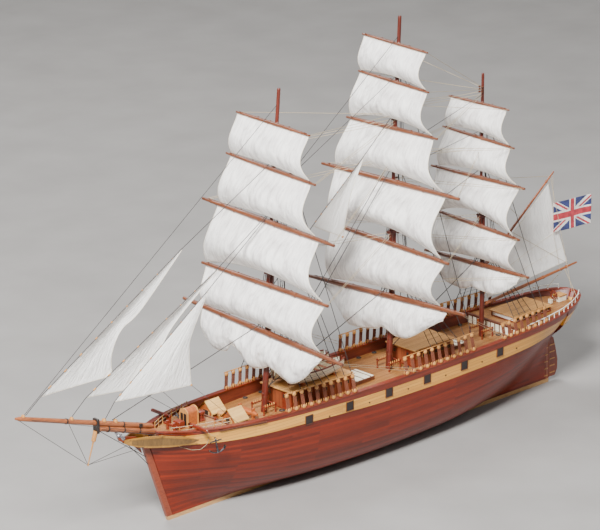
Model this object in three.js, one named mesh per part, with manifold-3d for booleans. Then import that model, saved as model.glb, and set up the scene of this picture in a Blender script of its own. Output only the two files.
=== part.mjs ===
// A three-masted full-rigged clipper: a wooden display model, built plank on frame.
// The tables below give the ship in metres at full size. M turns them into model millimetres.
// Frame: +X runs aft from amidships, -Y is the port side, +Z is up, and Z = 0 is the keel's flat bottom.

import * as THREE from 'three';
import Module from 'manifold-3d';
import { mergeVertices } from 'three/addons/utils/BufferGeometryUtils.js';

const wasm = await Module();
wasm.setup();

// Driving dimensions
const M = 12.5; // model millimetres for one metre of the ship, a scale of 1:80
const MIDSHIPS = 32; // distance from the stem head to the frame's origin
const FIT = 0.3 / M; // gap between touching pieces
const KEEL_DEPTH = 0.45;
const KEEL_HALF_WIDTH = 0.2;
const STEM_RAKE = 0.338; // metres aft for each metre down
const STEM_THICKNESS = 0.75;
const STERNPOST = { x: 61.25, depth: 0.5, top: 5.4 };
const WALL = 0.32; // thickness of the bulwark
const RAIL_OVERHANG = 0.12;
const RAIL_WIDTH = 0.62;
const MAIN_DECK = 8.45;
const FORECASTLE = { from: 1.7, to: 9.6, z: 9.95 };
const POOP = { from: 53.2, to: 65.1, z: 9.5 };
const CLOTH = 0.08; // thickness of a sail
const YARD_LEAD = 0.6; // a yard's centre stands this far ahead of its mast's line
const DOUBLING = 0.45; // a lower mast's centre stands this far abaft its topmast

const at = (x, y, z) => new THREE.Vector3((x - MIDSHIPS) * M, y * M, z * M);
const lerp = THREE.MathUtils.lerp;
const rad = THREE.MathUtils.degToRad;

// Hull stations, from the stem to the stern.
// Columns: x, half breadth, rail top, rail foot, strake foot, hull bottom, fullness exponent.
const STATIONS = [
  [0.35, 0.3, 10.95, 10.42, 9.3, 0.47, 1.3],
  [2.2, 1.75, 10.78, 10.26, 9.1, 0.47, 1.25],
  [5, 3.1, 10.55, 10.05, 8.85, 0.47, 1.1],
  [9, 4.25, 10.3, 9.85, 8.55, 0.47, 0.85],
  [14, 5.0, 10.05, 9.55, 8.3, 0.47, 0.6],
  [20, 5.35, 9.9, 9.25, 8.05, 0.47, 0.42],
  [28, 5.5, 9.73, 8.95, 7.62, 0.47, 0.34],
  [36, 5.5, 9.68, 8.84, 7.37, 0.47, 0.34],
  [44, 5.4, 9.7, 8.85, 7.36, 0.47, 0.42],
  [50, 5.2, 9.7, 8.86, 7.37, 0.47, 0.66],
  [55, 4.85, 9.71, 8.87, 7.42, 0.47, 1.1],
  [59, 4.35, 9.8, 8.95, 7.55, 0.47, 2.0],
  [61.2, 3.9, 9.92, 9.07, 7.72, 0.47, 3.0],
  [61.22, 3.88, 9.93, 9.08, 7.73, 5.45, 0.85],
  [63.3, 3.15, 10.07, 9.22, 7.96, 6.3, 0.7],
  [65, 2.15, 10.2, 9.35, 8.18, 7.1, 0.6],
  [66, 1.0, 10.27, 9.42, 8.3, 7.6, 0.6],
  [66.25, 0.14, 10.3, 9.45, 8.35, 7.75, 0.6],
];
const STERN_RAKE = 0.5;

// One row of the hull table at a place between two rows, smoothed through its neighbours.
function station(place) {
  const last = STATIONS.length - 1;
  const i = Math.min(Math.floor(place), last - 1);
  const f = place - i;
  const row = (k) => STATIONS[Math.max(0, Math.min(last, k))];
  const sharp = (k) => k === 12 || k === 13; // the sternpost is a hard break
  const before = sharp(i) ? row(i) : row(i - 1);
  const after = sharp(i + 1) ? row(i + 1) : row(i + 2);
  const [x, breadth, railTop, railFoot, strakeFoot, bottom, fullness] = row(i).map((_, c) => {
    const [p0, p1, p2, p3] = [before[c], row(i)[c], row(i + 1)[c], after[c]];
    const a = 2 * p1;
    const b = p2 - p0;
    const d = 2 * p0 - 5 * p1 + 4 * p2 - p3;
    const e = -p0 + 3 * p1 - 3 * p2 + p3;
    return 0.5 * (a + b * f + d * f * f + e * f * f * f);
  });
  return { x, breadth, railTop, railFoot, strakeFoot, bottom, fullness };
}

// The station whose x is nearest to the one asked for.
function stationAt(x) {
  let low = 0;
  let high = STATIONS.length - 1;
  for (let i = 0; i < 40; i += 1) {
    const middle = (low + high) / 2;
    if (station(middle).x < x) low = middle;
    else high = middle;
  }
  return station(low);
}

// A point of the hull's side: the bow leans aft as it goes down, and the stern leans forward.
function side(s, z, sign, inset = 0) {
  const t = Math.max(0, (z - s.bottom) / (s.railTop - s.bottom));
  const y = Math.max(s.breadth * Math.sin((Math.PI / 2) * t ** s.fullness), 0) - inset;
  const bow = Math.max(0, 1 - (s.x - STATIONS[0][0]) / 12) * STEM_RAKE;
  const stern = Math.max(0, (s.x - 61.5) / 4.75) * STERN_RAKE;
  return at(s.x + (bow - stern) * (s.railTop - z), sign * y, z);
}

// Geometry helpers

// A closed body through rings of equally many points, with flat ends.
function loft(rings) {
  const n = rings[0].length;
  const points = rings.flat();
  const faces = [];
  for (let r = 0; r < rings.length - 1; r += 1) {
    for (let k = 0; k < n; k += 1) {
      const a = r * n + k;
      const b = r * n + ((k + 1) % n);
      faces.push([a, b, b + n], [a, b + n, a + n]);
    }
  }
  const last = (rings.length - 1) * n;
  for (let k = 0; k < n / 2 - 1; k += 1) {
    const j = n - 1 - k;
    faces.push([k, j, k + 1], [k + 1, j, j - 1]);
    faces.push([last + k, last + k + 1, last + j], [last + k + 1, last + j - 1, last + j]);
  }
  return body(points, faces);
}

// A geometry from points and triangles, turned so that its faces point out.
function body(points, faces) {
  const edge = new THREE.Vector3();
  let volume = 0;
  for (const [a, b, c] of faces) volume += points[a].dot(edge.crossVectors(points[b], points[c]));
  const index = volume < 0 ? faces.map(([a, b, c]) => [a, c, b]) : faces;
  const geometry = new THREE.BufferGeometry().setFromPoints(points);
  geometry.setIndex(index.filter(([a, b, c]) => a !== b && b !== c && a !== c).flat());
  return geometry;
}

function solid(geometry) {
  const bare = geometry.clone();
  bare.deleteAttribute('normal');
  bare.deleteAttribute('uv');
  const merged = mergeVertices(bare, 1e-3);
  const mesh = new wasm.Mesh({
    numProp: 3,
    vertProperties: new Float32Array(merged.attributes.position.array),
    triVerts: new Uint32Array(merged.index.array),
  });
  return new wasm.Manifold(mesh);
}

function shape(manifold) {
  const mesh = manifold.getMesh();
  const geometry = new THREE.BufferGeometry();
  geometry.setAttribute('position', new THREE.BufferAttribute(mesh.vertProperties, 3));
  geometry.setIndex(new THREE.BufferAttribute(mesh.triVerts, 1));
  return geometry;
}

const join = (geometries) => shape(geometries.map(solid).reduce((a, b) => a.add(b)));
const cut = (geometry, tools) => shape(tools.map(solid).reduce((a, b) => a.subtract(b), solid(geometry)));

// A round bar between two points. profile holds [share of the length, radius] pairs.
function turned(from, to, profile, sides = 10) {
  const length = from.distanceTo(to);
  const outline = profile.map(([share, radius]) => new THREE.Vector2(radius * M, share * length));
  outline.unshift(new THREE.Vector2(0, outline[0].y));
  outline.push(new THREE.Vector2(0, outline.at(-1).y));
  const geometry = new THREE.LatheGeometry(outline, sides);
  const up = new THREE.Vector3(0, 1, 0);
  const turn = new THREE.Quaternion().setFromUnitVectors(up, to.clone().sub(from).normalize());
  geometry.applyQuaternion(turn);
  geometry.translate(from.x, from.y, from.z);
  return geometry;
}

const bar = (from, to, radius, sides = 8) => turned(from, to, [[0, radius], [1, radius]], sides);

// A box from its low and high corners, in ship metres.
function block([x0, y0, z0], [x1, y1, z1]) {
  const geometry = new THREE.BoxGeometry((x1 - x0) * M, (y1 - y0) * M, (z1 - z0) * M);
  const middle = at((x0 + x1) / 2, (y0 + y1) / 2, (z0 + z1) / 2);
  geometry.translate(middle.x, middle.y, middle.z);
  return geometry;
}

// A plate with an outline of [x, z] corners, standing on the ship's centre line.
function upright(outline, halfWidth, y = 0) {
  const plan = new THREE.Shape(outline.map(([x, z]) => new THREE.Vector2((x - MIDSHIPS) * M, z * M)));
  const geometry = new THREE.ExtrudeGeometry(plan, { depth: 2 * halfWidth * M, bevelEnabled: false });
  geometry.rotateX(Math.PI / 2);
  geometry.translate(0, (y + halfWidth) * M, 0);
  return geometry;
}

// A thin closed skin over a grid of points, as thick as CLOTH along the direction given.
function cloth(grid, direction) {
  const rows = grid.length;
  const columns = grid[0].length;
  const half = direction.clone().multiplyScalar((CLOTH * M) / 2);
  const front = grid.flat().map((p) => p.clone().add(half));
  const back = grid.flat().map((p) => p.clone().sub(half));
  const offset = rows * columns;
  const faces = [];
  const cell = (a, b, c, d) => faces.push([a, b, c], [a, c, d]);
  for (let r = 0; r < rows - 1; r += 1) {
    for (let c = 0; c < columns - 1; c += 1) {
      const a = r * columns + c;
      cell(a, a + 1, a + columns + 1, a + columns);
      cell(offset + a, offset + a + columns, offset + a + columns + 1, offset + a + 1);
    }
  }
  const rim = [];
  for (let c = 0; c < columns - 1; c += 1) rim.push(c);
  for (let r = 0; r < rows - 1; r += 1) rim.push(r * columns + columns - 1);
  for (let c = columns - 1; c > 0; c -= 1) rim.push((rows - 1) * columns + c);
  for (let r = rows - 1; r > 0; r -= 1) rim.push(r * columns);
  rim.forEach((a, k) => {
    const b = rim[(k + 1) % rim.length];
    cell(a, offset + a, offset + b, b);
  });
  return body([...front, ...back], faces);
}

// The model's group, and one line to add a named piece with its own material
const ship = new THREE.Group();

function add(name, geometry, colour, roughness = 0.5, metalness = 0) {
  const material = new THREE.MeshStandardMaterial({ color: colour, roughness, metalness });
  const mesh = new THREE.Mesh(geometry, material);
  mesh.name = name;
  ship.add(mesh);
}

const MAHOGANY = 0x8b3f22;
const LIMEWOOD = 0xd9a860;
const DARK_RAIL = 0x6e2a1c;
const SPAR = 0xa9643f;
const MAST = 0x7a3526;
const DECK = 0xc99a62;
const CREAM = 0xe6d3ac;
const SAILCLOTH = 0xf1ece4;
const IRON = 0x3c3f45;
const ENSIGN_RED = 0x7b2a3c;

// Hull

const PLACES = [];
for (let i = 0; i < STATIONS.length - 1; i += 1) {
  PLACES.push(i);
  if (i !== 12) PLACES.push(i + 0.5);
}
PLACES.push(STATIONS.length - 1);

function hullSection(s) {
  const top = s.strakeFoot - FIT;
  const steps = 9;
  const ring = [];
  for (let k = 0; k <= steps; k += 1) {
    const z = lerp(s.bottom, top, ((steps - k) / steps) ** 1.5);
    ring.push(side(s, z, -1, z === s.bottom ? -KEEL_HALF_WIDTH : 0));
  }
  for (let k = steps; k >= 0; k -= 1) {
    const z = lerp(s.bottom, top, ((steps - k) / steps) ** 1.5);
    ring.push(side(s, z, 1, z === s.bottom ? -KEEL_HALF_WIDTH : 0));
  }
  return ring;
}

add('hull_planking', loft(PLACES.map((p) => hullSection(station(p)))), MAHOGANY, 0.35);

const stemX = (z) => 3.26 - STEM_RAKE * z;
add('keel_stem_and_sternpost', join([
  upright([
    [stemX(0), 0],
    [STERNPOST.x + STERNPOST.depth + FIT, 0],
    [STERNPOST.x + STERNPOST.depth + FIT, STERNPOST.top],
    [STERNPOST.x + FIT, STERNPOST.top],
    [STERNPOST.x + FIT, KEEL_DEPTH],
    [stemX(KEEL_DEPTH) + STEM_THICKNESS, KEEL_DEPTH],
    [stemX(9.2) + STEM_THICKNESS, 9.2],
    [stemX(10.2) + STEM_THICKNESS, 10.2],
    [stemX(10.2), 10.2],
  ], KEEL_HALF_WIDTH),
]), MAHOGANY, 0.4);

// The ring of places round the deck's edge: port side, stern, starboard side
const EDGE = PLACES.filter((p) => station(p).x > 1.2).map((p) => station(p));

// A wall round the whole deck edge, open at the bow. foot and head give its heights, and its
// faces stand at outset and inset from the hull's side.
function wall(foot, head, outset, inset) {
  const ring = (s, sign) => [
    side(s, foot(s), sign, -outset),
    side(s, head(s), sign, -outset),
    side(s, head(s), sign, inset),
    side(s, foot(s), sign, inset),
  ];
  const broad = EDGE.filter((s) => s.breadth > inset + 0.3);
  // Across the stern the inner face stands forward of the outer one
  const stern = ring(station(STATIONS.length - 1), 1).map((p) => p.setY(0));
  stern[2].x -= (inset + outset) * M;
  stern[3].x -= (inset + outset) * M;
  return loft([
    ...broad.map((s) => ring(s, -1)),
    stern,
    ...broad.map((s) => ring(s, 1)).reverse(),
  ]);
}

const GUNPORTS = { first: 19.16, pitch: 5.88, count: 6, z: 8.45, size: 1.0, depth: 0.1 };
const portCutters = [];
for (let k = 0; k < GUNPORTS.count; k += 1) {
  const x = GUNPORTS.first + k * GUNPORTS.pitch;
  const reach = stationAt(x).breadth;
  const half = GUNPORTS.size / 2;
  for (const sign of [-1, 1]) {
    const [a, b] = [sign * (reach - GUNPORTS.depth), sign * (reach + 0.5)];
    portCutters.push(block(
      [x - half, Math.min(a, b), GUNPORTS.z - half],
      [x + half, Math.max(a, b), GUNPORTS.z + half],
    ));
  }
}
add('light_strake', cut(
  wall((s) => s.strakeFoot, (s) => s.railFoot, 0, WALL),
  portCutters,
), LIMEWOOD, 0.4);

// Masts. Columns: name, x where the mast's line meets the keel, rake in degrees,
// height of the top, of the lower cap, of the crosstrees, of the topmast cap and of the truck.
const MASTS = {
  fore: { x: 16.09, rake: 5.9, top: 20.7, cap: 24.2, trees: 32.2, head: 34.0, truck: 44.1, girth: 1 },
  main: { x: 35.18, rake: 3.97, top: 20.5, cap: 24.4, trees: 32.6, head: 34.6, truck: 48.5, girth: 1.05 },
  mizzen: { x: 50.2, rake: 1.66, top: 19.3, cap: 22.9, trees: 29.2, head: 30.9, truck: 39.4, girth: 0.85 },
};
const onMast = (m, z, ahead = 0, y = 0) => at(m.x + Math.tan(rad(m.rake)) * z - ahead, y, z);

// Rail cap with the rows of deadeyes that stand on it.
// Columns: x of the first pair, number of pairs, height.
const DEADEYES = [
  [18.6, 8, 1.9],
  [37.0, 8, 1.9],
  [51.6, 6, 1.7],
];
const DEADEYE_PITCH = 1.05;
const DEADEYE_HALF = 0.1;

function deadeyeRow([x0, count, height], sign) {
  const posts = [];
  for (let k = 0; k < count; k += 1) {
    const s = stationAt(x0 + k * DEADEYE_PITCH);
    const foot = side(s, s.railTop - 0.1, sign, 0.12);
    const lean = new THREE.Vector3(-0.1, -sign * 0.25, height).multiplyScalar(M);
    posts.push(bar(foot, foot.clone().add(lean), DEADEYE_HALF, 4));
  }
  return posts;
}

add('rail_cap_with_deadeyes', join([
  wall((s) => s.railFoot + FIT, (s) => s.railTop, RAIL_OVERHANG, RAIL_WIDTH - RAIL_OVERHANG),
  ...DEADEYES.flatMap((row) => [...deadeyeRow(row, -1), ...deadeyeRow(row, 1)]),
]), DARK_RAIL, 0.4);

// Decks

// A slab between two places, inside the bulwark
function slab(x0, x1, foot, head, inset) {
  const inner = PLACES.map(station).filter((s) => s.x > x0 + 0.1 && s.x < x1 - 0.1);
  return loft([stationAt(x0), ...inner, stationAt(x1)].map((s) => {
    const edge = side(s, foot(s), 1, inset);
    const y = Math.max(edge.y, 0.1 * M);
    const corner = (sign, z) => new THREE.Vector3(edge.x, sign * y, z * M);
    return [corner(-1, foot(s)), corner(-1, head(s)), corner(1, head(s)), corner(1, foot(s))];
  }));
}

const DECK_INSET = RAIL_WIDTH - RAIL_OVERHANG + 0.05;
const SINK = 0.1; // how far a joined piece reaches into the deck that carries it

// A house of one cross-section, its ridge along the ship. The outline holds pairs of distance to
// starboard and height.
function house(x0, x1, outline) {
  const plan = new THREE.Shape(outline.map(([y, z]) => new THREE.Vector2(y * M, z * M)));
  const geometry = new THREE.ExtrudeGeometry(plan, { depth: (x1 - x0) * M, bevelEnabled: false });
  geometry.rotateX(Math.PI / 2);
  geometry.rotateZ(Math.PI / 2);
  geometry.translate((x0 - MIDSHIPS) * M, 0, 0);
  return geometry;
}

// Main deck with its two hatches and the two bow houses
const HATCHES = [
  { x0: 29.2, x1: 32.6, half: 1.5, height: 0.55 },
  { x0: 45.3, x1: 47.4, half: 1.1, height: 0.5 },
];
const BOW_HOUSE = { x0: 10.7, x1: 12.4, inner: 0.8, outer: 2.85, foot: 8.48, eaves: 9.9, ridge: 10.9 };
const DECK_THICKNESS = 0.12;
const deckTop = (s) => Math.max(MAIN_DECK, s.strakeFoot + DECK_THICKNESS); // it rises at the bow
add('main_deck_with_bow_houses', join([
  slab(9.0, 58.0, (s) => s.strakeFoot, deckTop, WALL + 0.03),
  ...HATCHES.map((h) => block([h.x0, -h.half, MAIN_DECK - SINK], [h.x1, h.half, MAIN_DECK + h.height])),
  ...[-1, 1].map((sign) => {
    const { x0, x1, inner, outer, foot, eaves, ridge } = BOW_HOUSE;
    const [a, b] = sign < 0 ? [-outer, -inner] : [inner, outer];
    return house(x0, x1, [[a, foot], [b, foot], [b, eaves], [(a + b) / 2, ridge], [a, eaves]]);
  }),
]), DECK, 0.5);

// Forecastle deck with the two catheads, the bitts and the arched companion
const CATHEAD = { x: 5.4, inner: 1.5, out: 4.5, z: 10.75, half: 0.16 };
const COMPANION = { x0: 6.0, x1: 7.5, half: 0.6, spring: 11.3 };
const archOf = ({ half, spring }, foot) => [
  [-half, foot], [half, foot], [half, spring], [half * 0.7, spring + half * 0.7], [0, spring + half],
  [-half * 0.7, spring + half * 0.7], [-half, spring],
];
add('forecastle_deck', join([
  slab(FORECASTLE.from, FORECASTLE.to, () => MAIN_DECK + FIT + 0.9, () => FORECASTLE.z, DECK_INSET),
  ...[-1, 1].flatMap((sign) => {
    const { x, inner, out, z, half } = CATHEAD;
    const beam = [sign * inner, sign * out].sort((p, q) => p - q);
    const post = [sign * inner, sign * (inner + 0.4)].sort((p, q) => p - q);
    return [
      block([x - half, beam[0], z - half], [x + half, beam[1], z + half]),
      block([x - half, post[0], FORECASTLE.z - SINK], [x + half, post[1], z]),
    ];
  }),
  block([CATHEAD.x - 0.5, -0.5, FORECASTLE.z - SINK], [CATHEAD.x + 0.3, 0.5, CATHEAD.z]),
  house(COMPANION.x0, COMPANION.x1, archOf(COMPANION, FORECASTLE.z - SINK)),
]), DECK, 0.5);

add('windlass', join([
  bar(at(14.9, -1.7, MAIN_DECK + 0.75), at(14.9, 1.7, MAIN_DECK + 0.75), 0.32, 8),
  block([14.7, -1.2, MAIN_DECK + FIT], [15.1, -0.95, MAIN_DECK + 1.35]),
  block([14.7, 0.95, MAIN_DECK + FIT], [15.1, 1.2, MAIN_DECK + 1.35]),
]), SPAR, 0.5);

// A deckhouse with a roof that overhangs its walls
function deckhouse({ x0, x1, half, top }) {
  const [eaves, roof] = [0.25, 0.16];
  return [
    block([x0, -half, MAIN_DECK + FIT], [x1, half, top - 0.12]),
    block([x0 - eaves, -half - eaves, top - roof], [x1 + eaves, half + eaves, top]),
  ];
}

// A boat: half-round sections that shrink towards both ends
function boat(x0, x1, y, foot, half, depth) {
  const rings = [];
  const count = 8;
  for (let k = 0; k <= count; k += 1) {
    const share = k / count;
    const full = Math.sin(Math.PI * lerp(0.06, 0.94, share)) ** 0.6;
    const x = lerp(x0, x1, share);
    const rise = (1 - full) * depth * 0.45;
    const ring = [];
    for (let j = 0; j <= 6; j += 1) {
      const angle = (Math.PI * j) / 6;
      ring.push(at(
        x,
        y - Math.cos(angle) * half * full,
        foot + depth + rise * 0.5 - Math.sin(angle) ** 0.7 * (depth - rise * 0.5),
      ));
    }
    rings.push(ring);
  }
  return loft(rings.map((ring) => [...ring, ring.at(-1).clone().lerp(ring[0], 0.5)]));
}

// The forward house carries two boats on its roof
const FORE_HOUSE = { x0: 19.4, x1: 28.2, half: 2.3, top: 10.75 };
const AFTER_HOUSE = { x0: 38.2, x1: 44.0, half: 2.1, top: 10.6 };
const BOAT = { x0: 20.0, x1: 27.9, y: 1.25, half: 1.1, depth: 1.35 };
add('fore_deckhouse_with_boats', join([
  ...deckhouse(FORE_HOUSE),
  ...[-1, 1].map((sign) => boat(
    BOAT.x0, BOAT.x1, sign * BOAT.y, FORE_HOUSE.top - 0.04, BOAT.half, BOAT.depth,
  )),
]), CREAM, 0.5);
add('after_deckhouse', join(deckhouse(AFTER_HOUSE)), CREAM, 0.5);

// Poop with its cabin house, skylight and the wheel box right aft
const CABIN = { x0: 54.6, x1: 60.2, half: 1.9, height: 0.75 };
const WHEEL_BOX = { x0: 63.2, x1: 64.4, half: 0.55, height: 0.75 };
add('poop_deck', join([
  slab(POOP.from, POOP.to, () => MAIN_DECK + FIT + 0.6, () => POOP.z, DECK_INSET),
  ...[CABIN, WHEEL_BOX].map((h) => block([h.x0, -h.half, POOP.z - SINK], [h.x1, h.half, POOP.z + h.height])),
]), DECK, 0.5);

// Head: the knee under the bowsprit, the figurehead at its tip and the two trailboards
const BEAK = [-3.1, 11.2];
function trailboard(sign) {
  const rings = [];
  const count = 8;
  const height = 0.72;
  for (let k = 0; k <= count; k += 1) {
    const share = k / count;
    const x = lerp(-2.4, 4.9, share);
    const half = Math.max(height * Math.sin(Math.PI * lerp(0.05, 0.97, share)) ** 0.7, 0.08);
    const z = lerp(10.55, 9.55, share ** 0.7);
    const hull = x > STATIONS[0][0] ? side(stationAt(x), z, 1).y / M : 0;
    const y = Math.max(hull + 0.08, lerp(0.02, 1.0, share / 0.4));
    const flare = lerp(0.05, 0.45, Math.min(1, share / 0.5));
    rings.push([
      at(x, sign * y, z - half),
      at(x, sign * (y + flare), z + half),
      at(x, sign * (y + flare + 0.2), z + half),
      at(x, sign * (y + 0.2), z - half),
    ]);
  }
  return loft(rings);
}

add('head_knee_and_trailboards', join([
  upright([
    [stemX(8.6) - FIT, 8.6],
    [stemX(10.2) - FIT, 10.2],
    [-0.6, 10.6],
    [-2.6, 11.15],
    BEAK,
    [-2.9, 10.75],
    [-1.2, 9.9],
  ], 0.16),
  trailboard(-1),
  trailboard(1),
]), LIMEWOOD, 0.5);

// Anchors: the port one hangs below its cathead, the other lies on the forecastle
function anchor(shankTop, shankFoot, armWay, stockWay) {
  const arm = armWay.clone().normalize().multiplyScalar(0.95 * M);
  const stock = stockWay.clone().normalize().multiplyScalar(0.7 * M);
  const lift = shankTop.clone().sub(shankFoot).normalize().multiplyScalar(0.5 * M);
  const ringEnd = shankFoot.clone().lerp(shankTop, 0.88);
  return join([
    bar(shankFoot, shankTop, 0.1, 6),
    bar(shankFoot, shankFoot.clone().add(arm).add(lift), 0.11, 6),
    bar(shankFoot, shankFoot.clone().sub(arm).add(lift), 0.11, 6),
    bar(ringEnd.clone().sub(stock), ringEnd.clone().add(stock), 0.09, 6),
  ]);
}
const PORT_ARMS = new THREE.Vector3(1, -0.25, 0.1);
add('anchor_port', anchor(
  at(6.4, -4.55, 9.6), at(6.9, -4.35, 7.9), PORT_ARMS, PORT_ARMS,
), IRON, 0.45, 0.7);
const STARBOARD_ARMS = new THREE.Vector3(0.5, 0.86, 0);
add('anchor_starboard', anchor(
  at(6.6, 2.1, FORECASTLE.z + 0.45), at(8.5, 1.75, FORECASTLE.z + 0.2), STARBOARD_ARMS, STARBOARD_ARMS,
), IRON, 0.45, 0.7);

// Masts

const TOP_THICKNESS = 0.16;
function topPlatform(m, z, width, length) {
  const ahead = width * 0.55;
  const plan = new THREE.Shape();
  plan.moveTo(length * M, -width * M);
  plan.lineTo(length * M, width * M);
  plan.lineTo(0, width * M);
  plan.absellipse(0, 0, ahead * M, width * M, Math.PI / 2, (3 * Math.PI) / 2, false);
  plan.closePath();
  const solid = { depth: TOP_THICKNESS * M, bevelEnabled: false, curveSegments: 4 };
  const geometry = new THREE.ExtrudeGeometry(plan, solid);
  const centre = onMast(m, z, -DOUBLING / 2);
  geometry.translate(centre.x, centre.y, centre.z);
  return geometry;
}

function mast(m) {
  const g = m.girth;
  const foot = onMast(m, MAIN_DECK + 0.08, -DOUBLING);
  const pole = [[0, 0.23 * g], [0.6, 0.215 * g], [1, 0.19 * g]];
  const across = (z, width, ahead, half) => {
    const a = onMast(m, z, ahead, -width);
    const b = onMast(m, z, ahead, width);
    return bar(a, b, half, 4);
  };
  return join([
    turned(foot, onMast(m, m.cap, -DOUBLING), [[0, 0.34 * g], [0.75, 0.3 * g], [1, 0.26 * g]], 10),
    topPlatform(m, m.top, 1.75 * g, 1.3 * g),
    turned(onMast(m, m.top - 0.2), onMast(m, m.head), [[0, 0.24 * g], [0.7, 0.2 * g], [1, 0.17 * g]], 8),
    block(...capBox(m, m.cap, -DOUBLING / 2, 0.62 * g, 0.34 * g)),
    across(m.trees, 1.15 * g, 0.05, 0.1),
    across(m.trees, 1.15 * g, -0.5, 0.1),
    block(...capBox(m, m.trees, -0.22, 0.45 * g, 0.14)),
    turned(onMast(m, m.trees - 0.3, 0.05), onMast(m, m.truck), pole, 10),
    block(...capBox(m, m.head, 0.12, 0.36 * g, 0.2 * g)),
  ]);
}

// The box of a mast cap, centred a little ahead of the mast's line
function capBox(m, z, ahead, halfLength, halfWidth) {
  const x = m.x + Math.tan(rad(m.rake)) * z - ahead;
  return [[x - halfLength, -halfWidth, z - 0.3], [x + halfLength, halfWidth, z - 0.02]];
}

// Bowsprit with the jibboom on top of it, its cap and the dolphin striker
const STEEVE = rad(17.8);
const BOWSPRIT = { heel: 1.9, heelZ: 10.5, length: 8.3, radius: 0.34 };
const JIBBOOM = { heel: 0.6, length: 18.9, radius: 0.29 };
const BOWSPRIT_CAP = [[-6.1, -0.4, 12.4], [-5.75, 0.4, 14.1]];
const STRIKER = [[-5.95, 0, 12.7], [-7.25, 0, 9.3]]; // the dolphin striker's head and tip
const along = (share) => at(
  BOWSPRIT.heel - share * Math.cos(STEEVE), 0, BOWSPRIT.heelZ + share * Math.sin(STEEVE),
);
const above = (point, height) => point.clone().add(
  new THREE.Vector3(Math.sin(STEEVE) * height * M, 0, Math.cos(STEEVE) * height * M),
);
const BOOM_LIFT = BOWSPRIT.radius + JIBBOOM.radius - 0.06;
const boomPoint = (share) => above(along(JIBBOOM.heel + share), BOOM_LIFT);
add('bowsprit_and_jibboom', join([
  turned(along(0), along(BOWSPRIT.length), [[0, BOWSPRIT.radius], [1, BOWSPRIT.radius * 0.85]], 10),
  turned(boomPoint(0), boomPoint(JIBBOOM.length), [
    [0, JIBBOOM.radius], [0.4, 0.27], [0.93, 0.17], [0.94, 0.1], [1, 0.07],
  ], 8),
  block(...BOWSPRIT_CAP),
  turned(at(...STRIKER[0]), at(...STRIKER[1]), [[0, 0.17], [0.45, 0.14], [0.5, 0.07], [1, 0.05]], 6),
]), SPAR, 0.45);

// The masts, each with the lower stay that runs from below its top down and forward
const STAY = 0.05;
const STAY_BITE = 0.35; // how far inside a lower mast its own stay ends
const STAY_CLEAR = 0.45; // how far off a mast the stay of another mast or of a loose sail ends
const mastBack = (m, z) => onMast(m, z, -DOUBLING - STAY_CLEAR);
const LOWER_STAYS = {
  fore: [above(along(6.3), 0.98), 18.8],
  main: [mastBack(MASTS.fore, 11.2), 18.2],
  mizzen: [mastBack(MASTS.main, 11.0), 18.3],
};
for (const [name, m] of Object.entries(MASTS)) {
  const [foot, head] = LOWER_STAYS[name];
  add(`${name}_mast_with_stay`, join([mast(m), bar(foot, onMast(m, head, -STAY_BITE), STAY, 6)]), MAST, 0.45);
}

// Fore-and-aft sails

// A place on a line of [x, y, z] points, share of the way along
function onLine(points, share) {
  const places = points.map((p) => at(...p));
  if (places.length === 2) return places[0].lerp(places[1], share);
  return new THREE.CatmullRomCurve3(places, false, 'centripetal').getPoint(share);
}

// Cloth between a luff and a leech, bellied to starboard, or to port where belly is negative
function foreAndAftSail(luff, leech, belly, rows = 7, columns = 5) {
  const grid = [];
  for (let r = 0; r <= rows; r += 1) {
    const row = [];
    for (let c = 0; c <= columns; c += 1) {
      const [v, u] = [r / rows, c / columns];
      const p = onLine(luff, v).lerp(onLine(leech, v), u);
      p.y += belly * M * Math.sin(Math.PI * u) * Math.sin(Math.PI * lerp(0.1, 1, v));
      row.push(p);
    }
    grid.push(row);
  }
  return cloth(grid, new THREE.Vector3(0, 1, 0));
}

// A staysail with its stay, which runs on from the tack to start and from the head to end
function staysail(start, tack, head, end, leech, belly) {
  const peak = [head[0] + 0.25, head[1], head[2]];
  return join([
    foreAndAftSail([tack, head], [...leech, peak], belly),
    bar(start, at(...tack), STAY, 6),
    bar(at(...tack), at(...head), STAY, 6),
    bar(at(...head), end, STAY, 6),
  ]);
}

// Headsails. Columns: name, place along the jibboom where the stay starts, height where it
// meets the fore mast, tack, head, the leech from the clew up, belly.
const HEADSAILS = [
  ['flying_jib_on_stay', 17.6, 36.25, [-13.1, 0, 18.45], [6.2, 0, 29.5],
    [[-3.2, 0.45, 18.0], [-3.2, 0.4, 20.3], [-1.9, 0.3, 22.7], [0.8, 0.2, 24.3]], 0.3],
  ['outer_jib_on_stay', 11.4, 30.7, [-7.15, 0, 16.75], [11.1, 0, 26.1],
    [[2.6, 0.5, 15.4], [2.95, 0.45, 17.3], [3.7, 0.4, 19.5], [5.8, 0.3, 21.9]], 0.3],
  ['inner_jib_on_stay', 6.7, 30.5, [-3.4, 0, 15.25], [9.65, 0, 24],
    [[6.8, -0.45, 14.5], [6.7, -0.45, 16.3], [6.7, -0.4, 18.2], [7.1, -0.35, 19.9]], -0.3],
];
for (const [name, foot, top, tack, head, leech, belly] of HEADSAILS) {
  const start = boomPoint(foot);
  start.z += (JIBBOOM.radius + 0.1) * M;
  const end = onMast(MASTS.fore, top, STAY_CLEAR);
  add(name, staysail(start, tack, head, end, leech, belly), SAILCLOTH, 0.85);
}

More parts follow.
